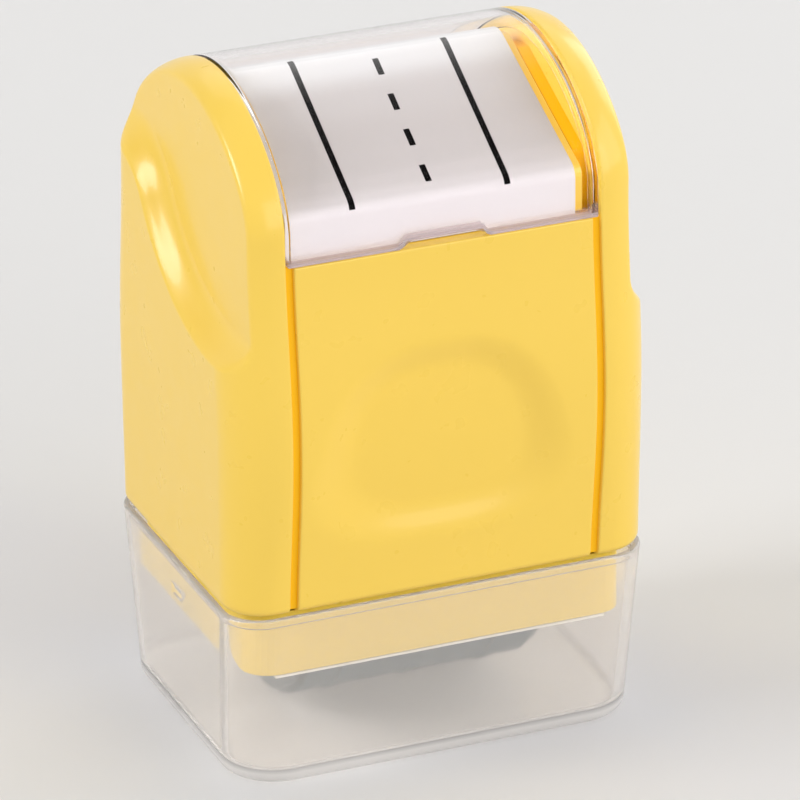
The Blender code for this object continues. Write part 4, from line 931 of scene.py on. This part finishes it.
def ledge_points(side):
    """The ledge beside the label as two rings: its outline is the lower of the deck's roof and of a line at a
    fixed depth under the arch, closed along its foot."""
    arch = arch_line(np.linspace(0, math.pi, 181))
    under = arch + inward_normals(arch) * LEDGE_INSET
    y = np.linspace(-LEDGE_HALF_DEPTH, LEDGE_HALF_DEPTH, 121)
    roof = np.interp(y, [-ROOF_SKIRT_Y, ROOF_RIDGE_Y, ROOF_SKIRT_Y], [ROOF_BEND_Z, ROOF_RIDGE_Z, ROOF_BEND_Z])
    top = np.minimum(roof - LEDGE_DROP, np.interp(y, under[:, 0], under[:, 1]))
    y = np.concatenate([y, [LEDGE_HALF_DEPTH, -LEDGE_HALF_DEPTH]])
    z = np.concatenate([top, [LEDGE_FOOT_Z, LEDGE_FOOT_Z]])
    x = side * np.array([LEDGE_INNER_X, COVER_EDGE_X + LIP_ROOT])
    return carried_across(x, np.stack([y, z], axis=-1))


def build_side_covers():
    """Each side cover with its scalloped recess, and its lips behind both panels and the ledge beside the
    label as a piece of their own."""
    for name, side in SIDES:
        points = cheek_points(side)
        rows, columns = points.shape[:2]
        faces = grid_faces(rows, columns)
        last = (rows - 1) * columns
        faces.append(list(range(columns)) + list(range(last + columns - 1, last - 1, -1)))
        piece = add_piece(f"{name}_cheek", points, faces, moulded_yellow_abs, smooth_angle=60.0)
        place_on(piece, "casing", "yellow_plastic", f"{name}_side_cover")
        # The lips and the ledge take the yellow with painted shade, orange as deep in the grooves.
        piece = add_bodies(f"{name}_inner_lips", shadowed_yellow_abs, lip_points(side, -1),
                           lip_points(side, 1), ledge_points(side))
        place_on(piece, "casing", "yellow_plastic", f"{name}_side_cover")


def dimple(x, z):
    """Depth of the thumb dimple: a superellipse whose width tapers upwards, eased in from its edge."""
    up = (z - DIMPLE_Z) / DIMPLE_HALF_HEIGHT
    across = (x - DIMPLE_X) / (DIMPLE_HALF_WIDTH * (1 - DIMPLE_TAPER_SHARE * np.clip(up, -1, 1)))
    reach = (np.abs(across) ** DIMPLE_POWER + np.abs(up) ** DIMPLE_POWER) ** (1 / DIMPLE_POWER)
    return sizes().dimple_depth * smooth_step((1 - reach) / DIMPLE_SOFT_SHARE)


def panel_points(end):
    """A panel as lofted rings: each ring runs across the outer face, with rounded groove edges, and back
    across the inner face at the wall's thickness."""
    small = sizes().groove_round
    turn = quarter(6)[:-1]
    top_turn = quarter(4)
    z = np.concatenate([CASE_Z + FOOT_ROUND * (1 - np.cos(turn)),
                        np.linspace(CASE_Z + FOOT_ROUND, PANEL_TOP_Z - small, PANEL_ROWS)[:-1],
                        PANEL_TOP_Z - small + small * np.sin(top_turn)])
    row_inset = np.concatenate([FOOT_ROUND * (1 - np.sin(turn)), np.zeros(PANEL_ROWS - 1),
                                small * (1 - np.cos(top_turn))])
    side_turn = quarter(4)
    flat = PANEL_HALF_WIDTH - small
    right = flat + small * np.sin(side_turn)
    x = np.concatenate([-right[::-1], np.linspace(-flat, flat, PANEL_COLUMNS)[1:-1], right])
    side_inset = small * (1 - np.cos(side_turn))
    column_inset = np.concatenate([side_inset[::-1], np.zeros(PANEL_COLUMNS - 2), side_inset])
    x, z = np.meshgrid(x, z)
    hollow = dimple(x, z)
    outer = wall_depth(z) - hollow - row_inset[:, None] - column_inset[None]
    inner = wall_depth(z) - hollow - PANEL_WALL
    front = np.stack([x, end * outer, z], axis=-1)
    back = np.stack([x, end * inner, z], axis=-1)[:, ::-1]
    return np.concatenate([front, back], axis=1)


def sill_points(end):
    """The sill behind a panel's upper edge, on which the window and the label rest: a rectangle carried
    across."""
    outline = np.array([(SILL_FRONT_Y, SILL_TOP_Z), (SILL_BACK_Y, SILL_TOP_Z),
                        (SILL_BACK_Y, SILL_TOP_Z - SILL_HEIGHT), (SILL_FRONT_Y, SILL_TOP_Z - SILL_HEIGHT)])
    return carried_across(np.linspace(-SILL_HALF_WIDTH, SILL_HALF_WIDTH, 9), outline * (end, 1))


def build_panels():
    """Both panels with their thumb dimples and their sills."""
    for name, end in ENDS:
        piece = add_bodies(f"{name}_thumb_panel", moulded_yellow_abs, panel_points(end), sill_points(end),
                           smooth_angle=50.0)
        place_on(piece, "casing", "yellow_plastic", f"{name}_panel")


def window_section():
    """The window's section across: a wide wall with a flange down each side, as (x, depth) with small round
    corners."""
    wall = sizes().window_wall
    outer = WINDOW_HALF_WIDTH - WINDOW_SHOULDER
    inner = FLANGE_INNER_X - WINDOW_SHOULDER
    top = np.linspace(-outer, outer, 76)
    under = np.linspace(inner, -inner, 76)
    left = [(-inner, wall), (-FLANGE_INNER_X, wall), (-FLANGE_INNER_X, FLANGE_DEPTH),
            (-WINDOW_HALF_WIDTH, FLANGE_DEPTH), (-WINDOW_HALF_WIDTH, 0), (-outer, 0)]
    left = round_outline(left, [WINDOW_INNER_ROUND] + [WINDOW_EDGE_ROUND] * 3, steps=3)
    right = left[::-1] * (-1, 1)
    top = np.stack([top, np.zeros_like(top)], axis=-1)[1:-1]
    under = np.stack([under, np.full_like(under, wall)], axis=-1)[1:-1]
    return np.concatenate([left, top, right, under])


def notch_rise(x):
    """Height of the pry notch at a place across: a trapezium with slanted ends."""
    return NOTCH_HEIGHT * np.clip((NOTCH_HALF_WIDTH - np.abs(x)) / NOTCH_SLANT, 0, 1)


def window_points():
    """The window as lofted rings: its section carried along the arch, square to the outline. The lowest front
    rows rise under the notch and settle back over a short reach."""
    section = window_section()
    low = WINDOW_Z + np.concatenate([[0.0], PAINTED_RIM_STOPS, NOTCH_ROWS])
    front = np.stack([-wall_depth(low), low], axis=-1)
    arch = arch_line(np.linspace(0, math.pi, 145))
    line = np.concatenate([front, arch, front[::-1] * (-1, 1)])
    normal = inward_normals(line)
    x = np.repeat(section[None, :, 0], len(line), axis=0)
    y = line[:, :1] + normal[:, :1] * section[None, :, 1]
    z = line[:, 1:] + normal[:, 1:] * section[None, :, 1]
    rows = len(low)
    settle = np.clip((NOTCH_REACH - low + WINDOW_Z) / (NOTCH_REACH - RIM_HEIGHT), 0, 1)[:, None]
    z[:rows] += notch_rise(x[:rows]) * settle
    return np.stack([x, y, z], axis=-1)


def build_window():
    """The clear arched cover over the label."""
    piece = add_bodies("clear_window", clear_polystyrene, window_points(), smooth_angle=40.0)
    corners = np.empty(len(piece.data.vertices) * 3)
    piece.data.vertices.foreach_get("co", corners)
    x, _, z = corners.reshape(-1, 3).T
    # The rim attribute marks where the painted refraction lies along the lower edges.
    rim = np.interp(z - notch_rise(x) - WINDOW_Z, PAINTED_RIM_STOPS, PAINTED_RIM_AMOUNTS)
    piece.data.attributes.new("rim", "FLOAT", "POINT").data.foreach_set("value", rim)
    place_on(piece, "window", "clear_plastic", "window_cover")


def roof_line(lift):
    """The deck's roof outline lifted by a distance, with round bends: each straight part is moved square to
    itself and the corners are rounded again."""
    corners = np.array([(-ROOF_SKIRT_Y, LABEL_FOOT_Z), (-ROOF_SKIRT_Y, ROOF_BEND_Z),
                        (ROOF_RIDGE_Y, ROOF_RIDGE_Z), (ROOF_SKIRT_Y, ROOF_BEND_Z),
                        (ROOF_SKIRT_Y, LABEL_FOOT_Z)])
    step = np.diff(corners, axis=0)
    step /= np.linalg.norm(step, axis=1, keepdims=True)
    normal = np.stack([-step[:, 1], step[:, 0]], axis=-1)
    before = np.concatenate([normal[:1], normal])
    after = np.concatenate([normal, normal[-1:]])
    mitre = lift / (1 + (before * after).sum(axis=1))
    moved = corners + (before + after) * mitre[:, None]
    radii = [ROOF_BEND_ROUND + lift, ROOF_RIDGE_ROUND + lift, ROOF_BEND_ROUND + lift]
    return round_outline(moved, radii, steps=12)


def build_label():
    """The label: a thin sheet that follows the roof, as rings round its thickness carried across. It lies
    loose and has slid a little to the left."""
    loop = np.concatenate([roof_line(LABEL_LIFT + LABEL_THICKNESS), roof_line(LABEL_LIFT)[::-1]])
    x = LABEL_SHIFT + np.linspace(-LABEL_HALF_WIDTH, LABEL_HALF_WIDTH, 25)
    piece = add_bodies("printed_label", printed_label_paper, carried_across(x, loop))
    place_on(piece, "label", "label_paper", "label_insert")


def rounded_rectangle(half_x, half_y, corner):
    """Rings of rounded rectangles, one a row: four quarter circles joined by straight sides, with points
    close to the corners and close together where the snap bumps stand."""
    half_x, half_y, corner = (np.asarray(value, dtype=float)[:, None] for value in (half_x, half_y, corner))
    arc = quarter(18)[None]
    plain = np.array([0.02, 0.25, 0.5, 0.75, 0.98])
    dense = np.concatenate([[0.02, 0.2, 0.36], np.linspace(0.42, 0.58, 21), [0.64, 0.8, 0.98]])
    centres = [(half_x - corner, half_y - corner), (corner - half_x, half_y - corner),
               (corner - half_x, corner - half_y), (half_x - corner, corner - half_y)]
    parts = []
    for index, (x, y) in enumerate(centres):
        angle = arc + index * math.pi / 2
        arc_x = x + corner * np.cos(angle)
        arc_y = y + corner * np.sin(angle)
        next_x, next_y = centres[(index + 1) % 4]
        turned = (index + 1) * math.pi / 2
        end_x = next_x + corner * math.cos(turned)
        end_y = next_y + corner * math.sin(turned)
        shares = (dense if index % 2 else plain)[None]
        side_x = arc_x[:, -1:] + (end_x - arc_x[:, -1:]) * shares
        side_y = arc_y[:, -1:] + (end_y - arc_y[:, -1:]) * shares
        parts.append(np.stack([np.concatenate([arc_x, side_x], axis=1),
                               np.concatenate([arc_y, side_y], axis=1)], axis=-1))
    return np.concatenate(parts, axis=1)


def cap_points():
    """The cap as lofted rings: up its outside from the rounded foot, over the stepped rim, down the inside to
    the floor. Each ring's taper and corner follow its height. Two cosine bumps swell the inner side walls."""
    wall = sizes().cap_wall
    turn = quarter(8)
    lip = quarter(4)
    outer_z = CAP_FOOT_ROUND * (1 - np.cos(turn))
    outer_inset = CAP_FOOT_ROUND * (1 - np.sin(turn))
    lip_z = CAP_HEIGHT - CAP_LIP_ROUND + CAP_LIP_ROUND * np.sin(lip)
    lip_inset = CAP_LIP_ROUND * (1 - np.cos(lip))
    ledge_z = CAP_HEIGHT - CAP_RIM_DROP
    step_inset = wall - CAP_RIM_STEP
    tiny = CAP_STEP_BEVEL
    rim = [(CAP_HEIGHT, step_inset - tiny), (CAP_HEIGHT - tiny, step_inset), (ledge_z + tiny, step_inset),
           (ledge_z, step_inset + tiny), (ledge_z, wall - tiny), (ledge_z - tiny, wall)]
    rim_z = np.array([z for z, _ in rim])
    rim_inset = np.array([inset for _, inset in rim])
    snap_z = SNAP_Z + np.linspace(1.1, -1.1, 17) * SNAP_HEIGHT
    inner_z = CAP_FLOOR + CAP_INNER_ROUND * (1 - np.cos(turn[::-1]))
    inner_inset = wall + CAP_INNER_ROUND * (1 - np.sin(turn[::-1]))
    z = np.concatenate([outer_z, CAP_OUTER_ROWS, lip_z, rim_z, snap_z, CAP_INNER_ROWS, inner_z])
    inset = np.concatenate([outer_inset, np.zeros(len(CAP_OUTER_ROWS)), lip_inset, rim_inset,
                            np.full(len(snap_z) + len(CAP_INNER_ROWS), wall), inner_inset])
    share = 1 - z / CAP_HEIGHT
    taper = CAP_TAPER * share + inset
    corner = CAP_RIM_CORNER + (CAP_FOOT_CORNER - CAP_RIM_CORNER) * share - inset
    flat = rounded_rectangle(CAP_HALF_WIDTH - taper, CAP_HALF_DEPTH - taper, corner)
    height = np.repeat(z[:, None], flat.shape[1], axis=1)
    first = len(outer_z) + len(CAP_OUTER_ROWS) + len(lip_z) + len(rim_z)
    rows = slice(first, first + len(snap_z))
    along = np.clip(np.abs(flat[rows, :, 1]) / SNAP_HALF_LENGTH, 0, 1)
    up = np.clip(np.abs(height[rows] - SNAP_Z) / SNAP_HEIGHT, 0, 1)
    swell = SNAP_HEIGHT * np.sqrt(1 - up ** 2) * np.clip((1 - along) * 4, 0, 1) ** 0.5
    on_side = np.abs(flat[rows, :, 0]) > CAP_HALF_WIDTH - SNAP_WALL_BAND
    flat[rows, :, 0] -= np.sign(flat[rows, :, 0]) * swell * on_side
    return np.concatenate([flat, height[..., None]], axis=2)


def build_cap():
    """The frosted protective cap that the stamp stands on."""
    piece = add_bodies("frosted_cap", frosted_polypropylene, cap_points(), smooth_angle=32.0)
    place_on(piece, "cap", "frosted_plastic", "protective_cap")


def die_points(segments):
    """The print sleeve as a grid: along its closed profile, and round the axis. Three ridges raise the
    radius by a trapezium of x, and the middle one also by a trapezium of the angle."""
    half = RIDGE_HALF_WIDTH
    steps = np.array([-half - RIDGE_DRAFT, -half - RIDGE_DRAFT / 2, -half, 0, half, half + RIDGE_DRAFT / 2,
                      half + RIDGE_DRAFT])
    flat = DIE_HALF_LENGTH - DIE_EDGE_BEVEL
    outer = np.concatenate([[-DIE_HALF_LENGTH, -flat], steps - SOLID_LINE_OFFSET, [-DIE_BETWEEN_X], steps,
                            [DIE_BETWEEN_X], steps + SOLID_LINE_OFFSET, [flat, DIE_HALF_LENGTH]])
    x = np.concatenate([outer, [DIE_HALF_LENGTH, -DIE_HALF_LENGTH]])
    low = DIE_RADIUS - DIE_EDGE_BEVEL
    radius = np.concatenate([[low], np.full(len(outer) - 2, DIE_RADIUS), [low, DIE_BORE, DIE_BORE]])
    angle = np.linspace(0, 2 * math.pi, segments, endpoint=False)
    phase = (angle * DASH_COUNT / (2 * math.pi)) % 1.0
    dashed = (DASH_INK_SHARE / 2 - np.abs(phase - DASH_MIDDLE_SHARE)) / DASH_EDGE_SHARE
    dashed = np.clip(dashed, 0, 1)[None]
    rise = np.zeros((len(x), segments))
    for line_x, share in ((-SOLID_LINE_OFFSET, 1.0), (0.0, dashed), (SOLID_LINE_OFFSET, 1.0)):
        away = np.abs(x - line_x)
        ridge = np.clip((half + RIDGE_DRAFT - away) / RIDGE_DRAFT, 0, 1)[:, None]
        rise = np.maximum(rise, ridge * share)
    radius = radius[:, None] + sizes().ridge_height * rise
    y = radius * np.cos(angle)[None]
    z = ROLLER_Z + radius * np.sin(angle)[None]
    return np.stack([np.repeat(x[:, None], segments, axis=1), y, z], axis=-1)


def build_roller():
    """The print roller: sleeve, foam, core, end flanges, axle and bushes."""
    points = die_points(384)
    faces = grid_faces(*points.shape[:2], wrap_rows=True, wrap_columns=True)
    sleeve = add_piece("rubber_print_sleeve", points, faces, moulded_print_rubber)
    place_on(sleeve, "roller", "print_rubber", "print_die")

    length = DIE_HALF_LENGTH
    corners = square_ring(-length, length, CORE_RADIUS + TURNED_GAP, FOAM_RADIUS)
    foam = turned_piece("ink_foam_sleeve", corners, 0.3 * MM, inked_felt)
    place_on(foam, "roller", "ink_felt", "ink_foam")

    end = ROLLER_HALF_LENGTH
    corners = both_ways([(-end, AXLE_RADIUS + TURNED_GAP), (-end, SPIGOT_RADIUS), (-length, SPIGOT_RADIUS),
                         (-length, CORE_RADIUS)])
    core = turned_piece("grey_roller_core", corners, 0.2 * MM, moulded_grey_abs)
    place_on(core, "roller", "grey_plastic", "roller_core")

    for name, side in SIDES:
        corners = square_ring(side * (end - FLANGE_THICKNESS), side * end, SPIGOT_RADIUS + TURNED_GAP,
                              FLANGE_RADIUS)
        disc = turned_piece(f"{name}_roller_disc", corners, 0.2 * MM, moulded_grey_abs, segments=128)
        place_on(disc, "roller", "grey_plastic", f"roller_flange_{name}")
        corners = [(side * x, radius) for x, radius in BUSH_CORNERS]
        bush = turned_piece(f"{name}_bush", corners, 0.1 * MM, turned_natural_acetal, segments=64)
        place_on(bush, "casing", "bearing_plastic", f"axle_bush_{name}")

    corners = both_ways([(AXLE_HALF_LENGTH, 0.0), (AXLE_HALF_LENGTH, AXLE_RADIUS),
                         (AXLE_GROOVE_END_X, AXLE_RADIUS), (AXLE_GROOVE_END_X, AXLE_GROOVE_RADIUS),
                         (AXLE_GROOVE_X, AXLE_GROOVE_RADIUS), (AXLE_GROOVE_X, AXLE_RADIUS)])
    pin = turned_piece("steel_axle", corners, 0.15 * MM, bright_drawn_steel, segments=48, hollow=False)
    place_on(pin, "roller", "bright_steel", "axle")


def build_wiper_lips():
    """A pale lip under the neck's front and back edges, a painted highlight that stands in for the bright
    line
    along them: a stepped section carried across, with a fine gap over its nose."""
    outline = np.array([(HIGHLIGHT_LIP_NOSE_Y, HIGHLIGHT_LIP_FOOT_Z), (HIGHLIGHT_LIP_NOSE_Y, HIGHLIGHT_LIP_NOSE_Z),
                        (HIGHLIGHT_LIP_STEM_Y, HIGHLIGHT_LIP_NOSE_Z), (HIGHLIGHT_LIP_STEM_Y, HIGHLIGHT_LIP_STEM_Z),
                        (HIGHLIGHT_LIP_BACK_Y, HIGHLIGHT_LIP_STEM_Z), (HIGHLIGHT_LIP_BACK_Y, HIGHLIGHT_LIP_FOOT_Z)])
    x = np.linspace(-HIGHLIGHT_LIP_HALF_WIDTH, HIGHLIGHT_LIP_HALF_WIDTH, 9)
    for name, end in ENDS:
        lip = add_bodies(f"{name}_highlight_lip", turned_natural_acetal, carried_across(x, outline * (end, 1)))
        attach(lip, "casing")


def build_small_parts():
    """The deck's screws and the filler plug under the label."""
    head_z = SCREW_SEAT_Z + SCREW_HEAD_HEIGHT
    floor_z = head_z - SCREW_SOCKET_DEPTH
    outline = [(SCREW_TIP_Z, 0.0), (SCREW_TIP_Z, SCREW_SHANK_RADIUS / 2),
               (SCREW_TIP_Z + SCREW_SHANK_RADIUS / 2, SCREW_SHANK_RADIUS), (SCREW_SEAT_Z, SCREW_SHANK_RADIUS),
               (SCREW_SEAT_Z, SCREW_HEAD_RADIUS), (head_z, SCREW_HEAD_RADIUS), (head_z, SCREW_SHANK_RADIUS),
               (floor_z, SCREW_SHANK_RADIUS), (floor_z, 0.0)]
    for name, side in SIDES:
        screw = turned_piece(f"{name}_deck_screw", outline, 0.15 * MM, bright_drawn_steel, side * SCREW_X,
                             segments=48, hollow=False)
        place_on(screw, "casing", "bright_steel", f"deck_screw_{name}")
    top = PLUG_HEAD_Z + PLUG_HEAD_HEIGHT
    foot = PLUG_HEAD_Z - PLUG_STEM_LENGTH
    outline = [(foot, 0.0), (foot, PLUG_STEM_RADIUS), (PLUG_HEAD_Z, PLUG_STEM_RADIUS),
               (PLUG_HEAD_Z, PLUG_HEAD_RADIUS), (top, PLUG_HEAD_RADIUS), (top, 0.0)]
    plug = turned_piece("filler_plug", outline, 0.25 * MM, moulded_plug_rubber, 0.0, segments=48,
                        hollow=False)
    place_on(plug, "plug", "plug_rubber", "refill_plug")


def finish_kept_nodes():
    """Give the kept CAD parts their finishes."""
    finishes = {
        # The frame takes the yellow with painted shade.
        "roller_frame": shaded_yellow_abs, "label_deck": moulded_yellow_abs,
        "ink_reservoir": moulded_grey_abs, "reservoir_sponge": inked_felt, "feed_pad": inked_felt,
        "axle_clip_left": bright_drawn_steel, "axle_clip_right": bright_drawn_steel,
    }
    for node, maker in finishes.items():
        for slot in frame["nodes"][node].material_slots:
            slot.material = shared(maker)


def matt_paper_sweep():
    """Seamless background paper: pale and matt, a little darker on the floor than on the wall behind, and
    darker again in a band round the stamp as painted shadow.
    """
    material, shader = start_material("matt_paper_sweep", {"Roughness": 0.8, "Specular IOR Level": 0.2})
    place = add_node(material, "ShaderNodeTexCoord")
    along = add_node(material, "ShaderNodeVectorMath", {1: FLOOR_FADE_WAY}, {0: place.outputs["Object"]},
                     operation="DOT_PRODUCT")
    share = stretch(material, along.outputs["Value"], 0.0, 1.0, FLOOR_FADE_START, FLOOR_FADE_END)
    # Painted shadow: the floor tone darkens in a band round the stamp, and the tilted way lightens it sooner
    # to the stamp's right.
    tones = [(0.0, colours().floor_front), (0.34, colours().floor), (0.47, colours().floor),
             (0.66, colours().backdrop)]
    link(material, colour_ramp(material, share, tones), shader.inputs["Base Color"])
    return material


def build_floor():
    """Floor and backdrop as one sheet: level, a quarter circle up at the back, then upright."""
    turn = quarter(24)
    y = np.concatenate([FLOOR_ROWS_Y, FLOOR_DEPTH + FLOOR_BEND * np.sin(turn),
                        [FLOOR_DEPTH + FLOOR_BEND] * len(WALL_ROWS_Z)])
    z = np.concatenate([np.zeros(len(FLOOR_ROWS_Y)), FLOOR_BEND * (1 - np.cos(turn)), WALL_ROWS_Z])
    x = np.linspace(-FLOOR_HALF_WIDTH, FLOOR_HALF_WIDTH, 9)
    points = np.stack(np.broadcast_arrays(x[None], y[:, None], z[:, None]), axis=-1)
    mesh = bpy.data.meshes.new("paper_sweep")
    mesh.from_pydata(points.reshape(-1, 3).tolist(), [], grid_faces(len(y), len(x)))
    mesh.shade_smooth()
    mesh.materials.append(shared(matt_paper_sweep))
    floor = add_object("paper_sweep", mesh)


def add_softbox(name, place, size, power):
    """A large rectangular lamp that faces the stamp's middle."""
    lamp = bpy.data.lights.new(name, "AREA")
    lamp.shape = "RECTANGLE"
    lamp.size, lamp.size_y = size
    lamp.energy = power
    away = Vector(place) - Vector(LAMP_TARGET)
    turn = away.to_track_quat("Z", "Y").to_matrix().to_4x4()
    add_object(name, lamp).matrix_world = Matrix.Translation(place) @ turn


def add_camera():
    """The camera that the outline was fitted with: a long lens, turned left of the front and looking down."""
    camera = bpy.data.cameras.new("camera")
    camera.lens = CAMERA_LENS
    camera.sensor_width = 36.0
    camera.clip_start = 0.05
    camera.clip_end = 20.0
    holder = add_object("camera", camera)
    turn = Matrix((CAMERA_RIGHT, CAMERA_UP, CAMERA_BACK)).transposed().to_4x4()
    holder.matrix_world = Matrix.Translation(CAMERA_PLACE) @ turn
    bpy.context.scene.camera = holder


def build_stage():
    """Floor, soft studio light and camera."""
    build_floor()
    for softbox in SOFTBOXES:
        add_softbox(*softbox)
    world = bpy.data.worlds.new("studio_light")
    world.use_nodes = True
    background = world.node_tree.nodes["Background"]
    background.inputs["Color"].default_value = (*linear_colour("#FFFFFF"), 1.0)
    # Seen straight, in a gloss or through the clear parts, the studio's walls are pale.
    path = add_node(world, "ShaderNodeLightPath")
    seen = calculate(world, "MAXIMUM", path.outputs["Is Camera Ray"], path.outputs["Is Glossy Ray"])
    seen = calculate(world, "MAXIMUM", seen, path.outputs["Is Transmission Ray"])
    link(world, stretch(world, seen, FILL_STRENGTH, SEEN_STRENGTH), background.inputs["Strength"])
    bpy.context.scene.world = world
    add_camera()
    bpy.context.scene.view_settings.view_transform = "Standard"


def build_inner_parts():
    """The pale lips under the neck, a painted highlight, the screws and the plug, and the finishes of the
    parts inside the case.
    """
    build_wiper_lips()
    build_small_parts()
    finish_kept_nodes()


class StampCap(bpy.types.Operator):
    """Build the frosted protective cap"""
    bl_idname = "stamp.cap"
    bl_label = "Frosted Cap"

    def execute(self, context):
        build_cap()
        return {"FINISHED"}


class StampSideCovers(bpy.types.Operator):
    """Build both side covers with their scalloped recesses"""
    bl_idname = "stamp.side_covers"
    bl_label = "Side Covers"

    def execute(self, context):
        build_side_covers()
        return {"FINISHED"}


class StampPanels(bpy.types.Operator):
    """Build the front and back panels with their thumb dimples"""
    bl_idname = "stamp.panels"
    bl_label = "Dimpled Panels"

    def execute(self, context):
        build_panels()
        return {"FINISHED"}


class StampWindow(bpy.types.Operator):
    """Build the clear arched window cover"""
    bl_idname = "stamp.window"
    bl_label = "Clear Window"

    def execute(self, context):
        build_window()
        return {"FINISHED"}


class StampLabel(bpy.types.Operator):
    """Build the label with its printed guide lines"""
    bl_idname = "stamp.label"
    bl_label = "Printed Label"

    def execute(self, context):
        build_label()
        return {"FINISHED"}


class StampRoller(bpy.types.Operator):
    """Build the print roller, its axle and its bushes"""
    bl_idname = "stamp.roller"
    bl_label = "Print Roller"

    def execute(self, context):
        build_roller()
        return {"FINISHED"}


class StampInnerParts(bpy.types.Operator):
    """Build the pale lips under the neck that stand in for its highlight, the screws and the plug, and finish
    the parts inside the case
    """
    bl_idname = "stamp.inner_parts"
    bl_label = "Inner Parts"

    def execute(self, context):
        build_inner_parts()
        return {"FINISHED"}


class StampStage(bpy.types.Operator):
    """Set up the floor, the soft light and the camera"""
    bl_idname = "stamp.stage"
    bl_label = "Stage"

    def execute(self, context):
        build_stage()
        return {"FINISHED"}


OPERATORS = (StampCap, StampSideCovers, StampPanels, StampWindow, StampLabel, StampRoller, StampInnerParts,
             StampStage)


class StampSidebar(bpy.types.Panel):
    """Sidebar with the stamp's pieces, sizes and colours"""
    bl_idname = "VIEW3D_PT_stamp"
    bl_label = "Roller Stamp"
    bl_space_type = "VIEW_3D"
    bl_region_type = "UI"
    bl_category = "Stamp"

    def draw(self, context):
        column = self.layout.column()
        for operator in OPERATORS:
            column.operator(operator.bl_idname)
        for group in (context.scene.stamp_sizes, context.scene.stamp_colours):
            for name in group.bl_rna.properties.keys():
                if name not in ("rna_type", "name"):
                    column.prop(group, name)


CLASSES = (StampSizes, StampColours, *OPERATORS, StampSidebar)


def register():
    """Register the classes and hang the sizes and colours on the scene."""
    for item in CLASSES:
        bpy.utils.register_class(item)
    bpy.types.Scene.stamp_sizes = PointerProperty(type=StampSizes)
    bpy.types.Scene.stamp_colours = PointerProperty(type=StampColours)


def unregister():
    """Take the sizes, the colours and the classes away again."""
    del bpy.types.Scene.stamp_colours
    del bpy.types.Scene.stamp_sizes
    for item in reversed(CLASSES):
        bpy.utils.unregister_class(item)


def main():
    """Build every piece and the stage in order."""
    register()
    bpy.ops.stamp.cap()
    bpy.ops.stamp.side_covers()
    bpy.ops.stamp.panels()
    bpy.ops.stamp.window()
    bpy.ops.stamp.label()
    bpy.ops.stamp.roller()
    bpy.ops.stamp.inner_parts()
    bpy.ops.stamp.stage()


if __name__ == "__main__":
    main()
